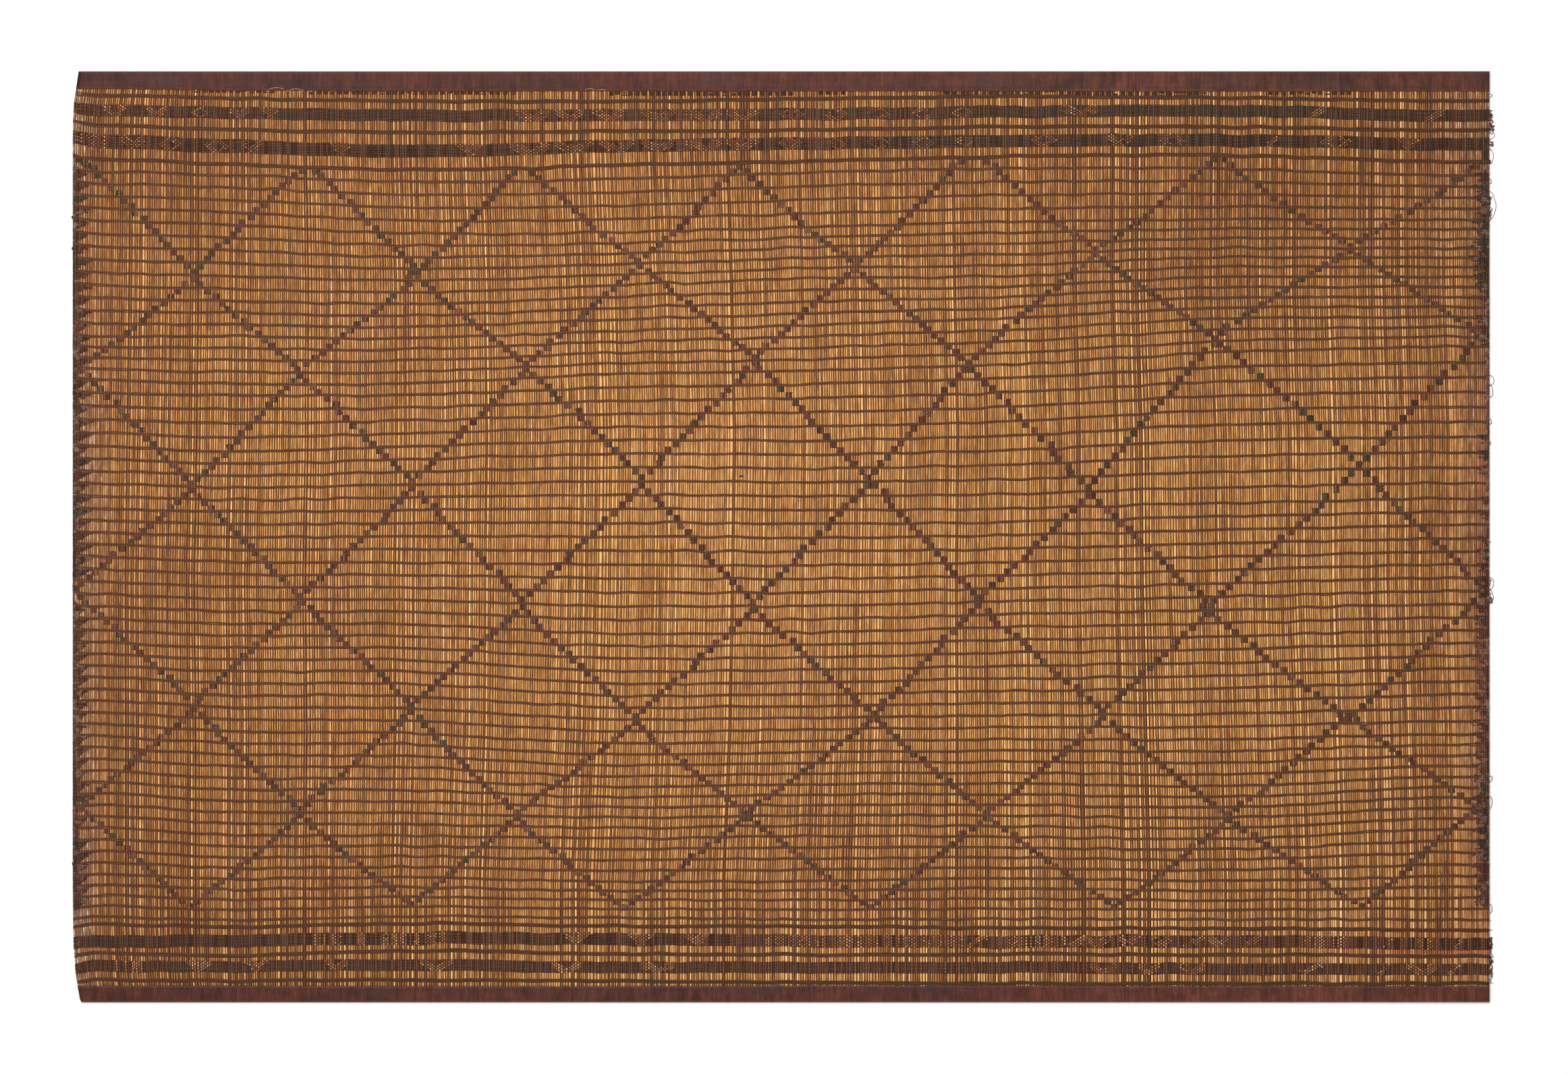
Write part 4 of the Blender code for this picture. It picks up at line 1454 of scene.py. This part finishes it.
def tangle(start, end, reach, draw):
    """A thong that wanders beside the right edge and ends there or loose."""
    depth = draw.uniform(start, end)
    points = [(LENGTH - ROOT_INSET, depth, ROOT_HEIGHT)]
    for step in range(5):
        depth = float(np.clip(depth + draw.normal(0, 6), start, end))
        points.append((LENGTH + reach * draw.beta(1.2, 1.4), depth, LOOP_HEIGHT + draw.uniform(0, 1.5)))
    if draw.random() < 0.6:
        points.append((LENGTH - ROOT_INSET, depth + draw.normal(0, 2), ROOT_HEIGHT))
    return points


def spike(depth, reach, lean):
    """A stiff end that points away from the right edge."""
    out = [
        (LENGTH + reach * share, depth + lean * share ** 1.5, LOOP_HEIGHT)
        for share in (0.35, 0.7, 1)
    ]
    return [(LENGTH - ROOT_INSET, depth, ROOT_HEIGHT)] + out


def make_loops(material):
    """Thongs that have come loose at the side edges."""
    draw = np.random.default_rng(61)
    paths = []
    for start, end, reach in RIGHT_BOWS:
        paths.append(bow(LENGTH, 1, start, end, reach, draw.uniform(-4, 4), draw))
    for start, end, reach, count in RIGHT_TANGLES:
        paths += [tangle(start, end, reach, draw) for number in range(count)]
    paths += [spike(*row) for row in RIGHT_SPIKES]
    for depth, reach in LEFT_KNOTS:
        for share in (1.0, 0.7, 0.4):
            tall = KNOT_HALF * share
            paths.append(bow(left_edge(depth), -1, depth - tall, depth + tall, reach * share, 0, draw))
    return lay_loops("loose_thongs", paths, THONG_RADIUS, material, 62)


def make_fibres(material):
    """Pale fibres that arch over the upper binding's inner edge."""
    paths = []
    for start, end, top in FIBRES:
        path = [(start, FIBRE_ROOT, FIBRE_HEIGHT - FIBRE_SINK)]
        for share in (0.25, 0.5, 0.75):
            depth = FIBRE_ROOT + (top - FIBRE_ROOT) * math.sin(math.pi * share)
            path.append((start + (end - start) * share, depth, FIBRE_HEIGHT))
        paths.append(path + [(end, FIBRE_ROOT, FIBRE_HEIGHT - FIBRE_SINK)])
    return lay_loops("loose_fibres", paths, FIBRE_RADIUS, material, 64, "reed")


def make_camera():
    """Straight above, with the photograph's frame."""
    data = bpy.data.cameras.new("camera")
    data.sensor_width = SENSOR
    data.lens = LENS
    camera = new_object("camera", data)
    camera.location = place(VIEW_ACROSS, VIEW_DEPTH, LENS / SENSOR * VIEW_WIDTH)
    bpy.context.scene.camera = camera


def make_studio():
    """A pale floor, an even pale sky and one broad soft light above."""
    shell = bmesh.new()
    bmesh.ops.create_grid(shell, x_segments=1, y_segments=1, size=FLOOR_SIZE)
    bmesh.ops.translate(shell, verts=shell.verts, vec=(0, 0, -FLOOR_DROP))
    mesh = bpy.data.meshes.new("floor")
    shell.to_mesh(mesh)
    shell.free()
    floor = new_object("floor", mesh)
    mesh.materials.append(plain_finish("studio_floor", (0.9, 0.9, 0.9), 0.9, 3.0, 0.01))

    world = bpy.data.worlds.new("studio")
    bpy.context.scene.world = world
    world.use_nodes = True
    sky = world.node_tree.nodes["Background"]
    sky.inputs["Color"].default_value = (1, 1, 1, 1)
    sky.inputs["Strength"].default_value = SKY_STRENGTH

    data = bpy.data.lights.new("softbox", "AREA")
    data.shape = "RECTANGLE"
    data.size, data.size_y = LIGHT_SIZE
    data.energy = LIGHT_POWER
    light = new_object("softbox", data)
    light.location = LIGHT_PLACE
    x, y, z = LIGHT_PLACE
    light.rotation_euler = (math.atan2(-y, z), math.atan2(x, z), 0)
    bpy.context.scene.view_settings.view_transform = "Standard"


def main():
    make_camera()
    make_studio()
    thong = thong_finish("thong_leather")
    close = thong_finish("band_leather", woven=True)
    edging = thong_finish("edge_leather", woven=True, dust=0.8)
    stitch = thong_finish("stitch_thread")
    leather = binding_finish()
    straw = reed_finish()
    reeds = make_reeds(straw)
    woven = make_plain_rows(thong) + make_wide_rows(thong_finish("thick_leather"), close)
    woven.append(make_under_rows(thong))
    woven.append(make_lattice(thong_finish("block_leather", woven=True)))
    woven += [make_loose_patches(close), make_tufts(close), make_reed_dots(straw)]
    woven += [make_wrap(*side, edging) for side in SIDES]
    woven += [make_teeth(*side, edging) for side in SIDES]
    woven.append(make_loops(edging))
    woven.append(make_fibres(plain_finish("pale_fibre", (0.42, 0.25, 0.14), 0.6, 200.0, 0.3)))
    for name, node, outer, towards, lips, seed, inset, pitch in BINDINGS:
        binding = make_binding(f"{name}_leather", node, outer, towards, lips, seed, leather)
        stitches = make_stitches(f"{name}_stitches", lips, towards, inset, pitch, seed + 1, stitch)


main()
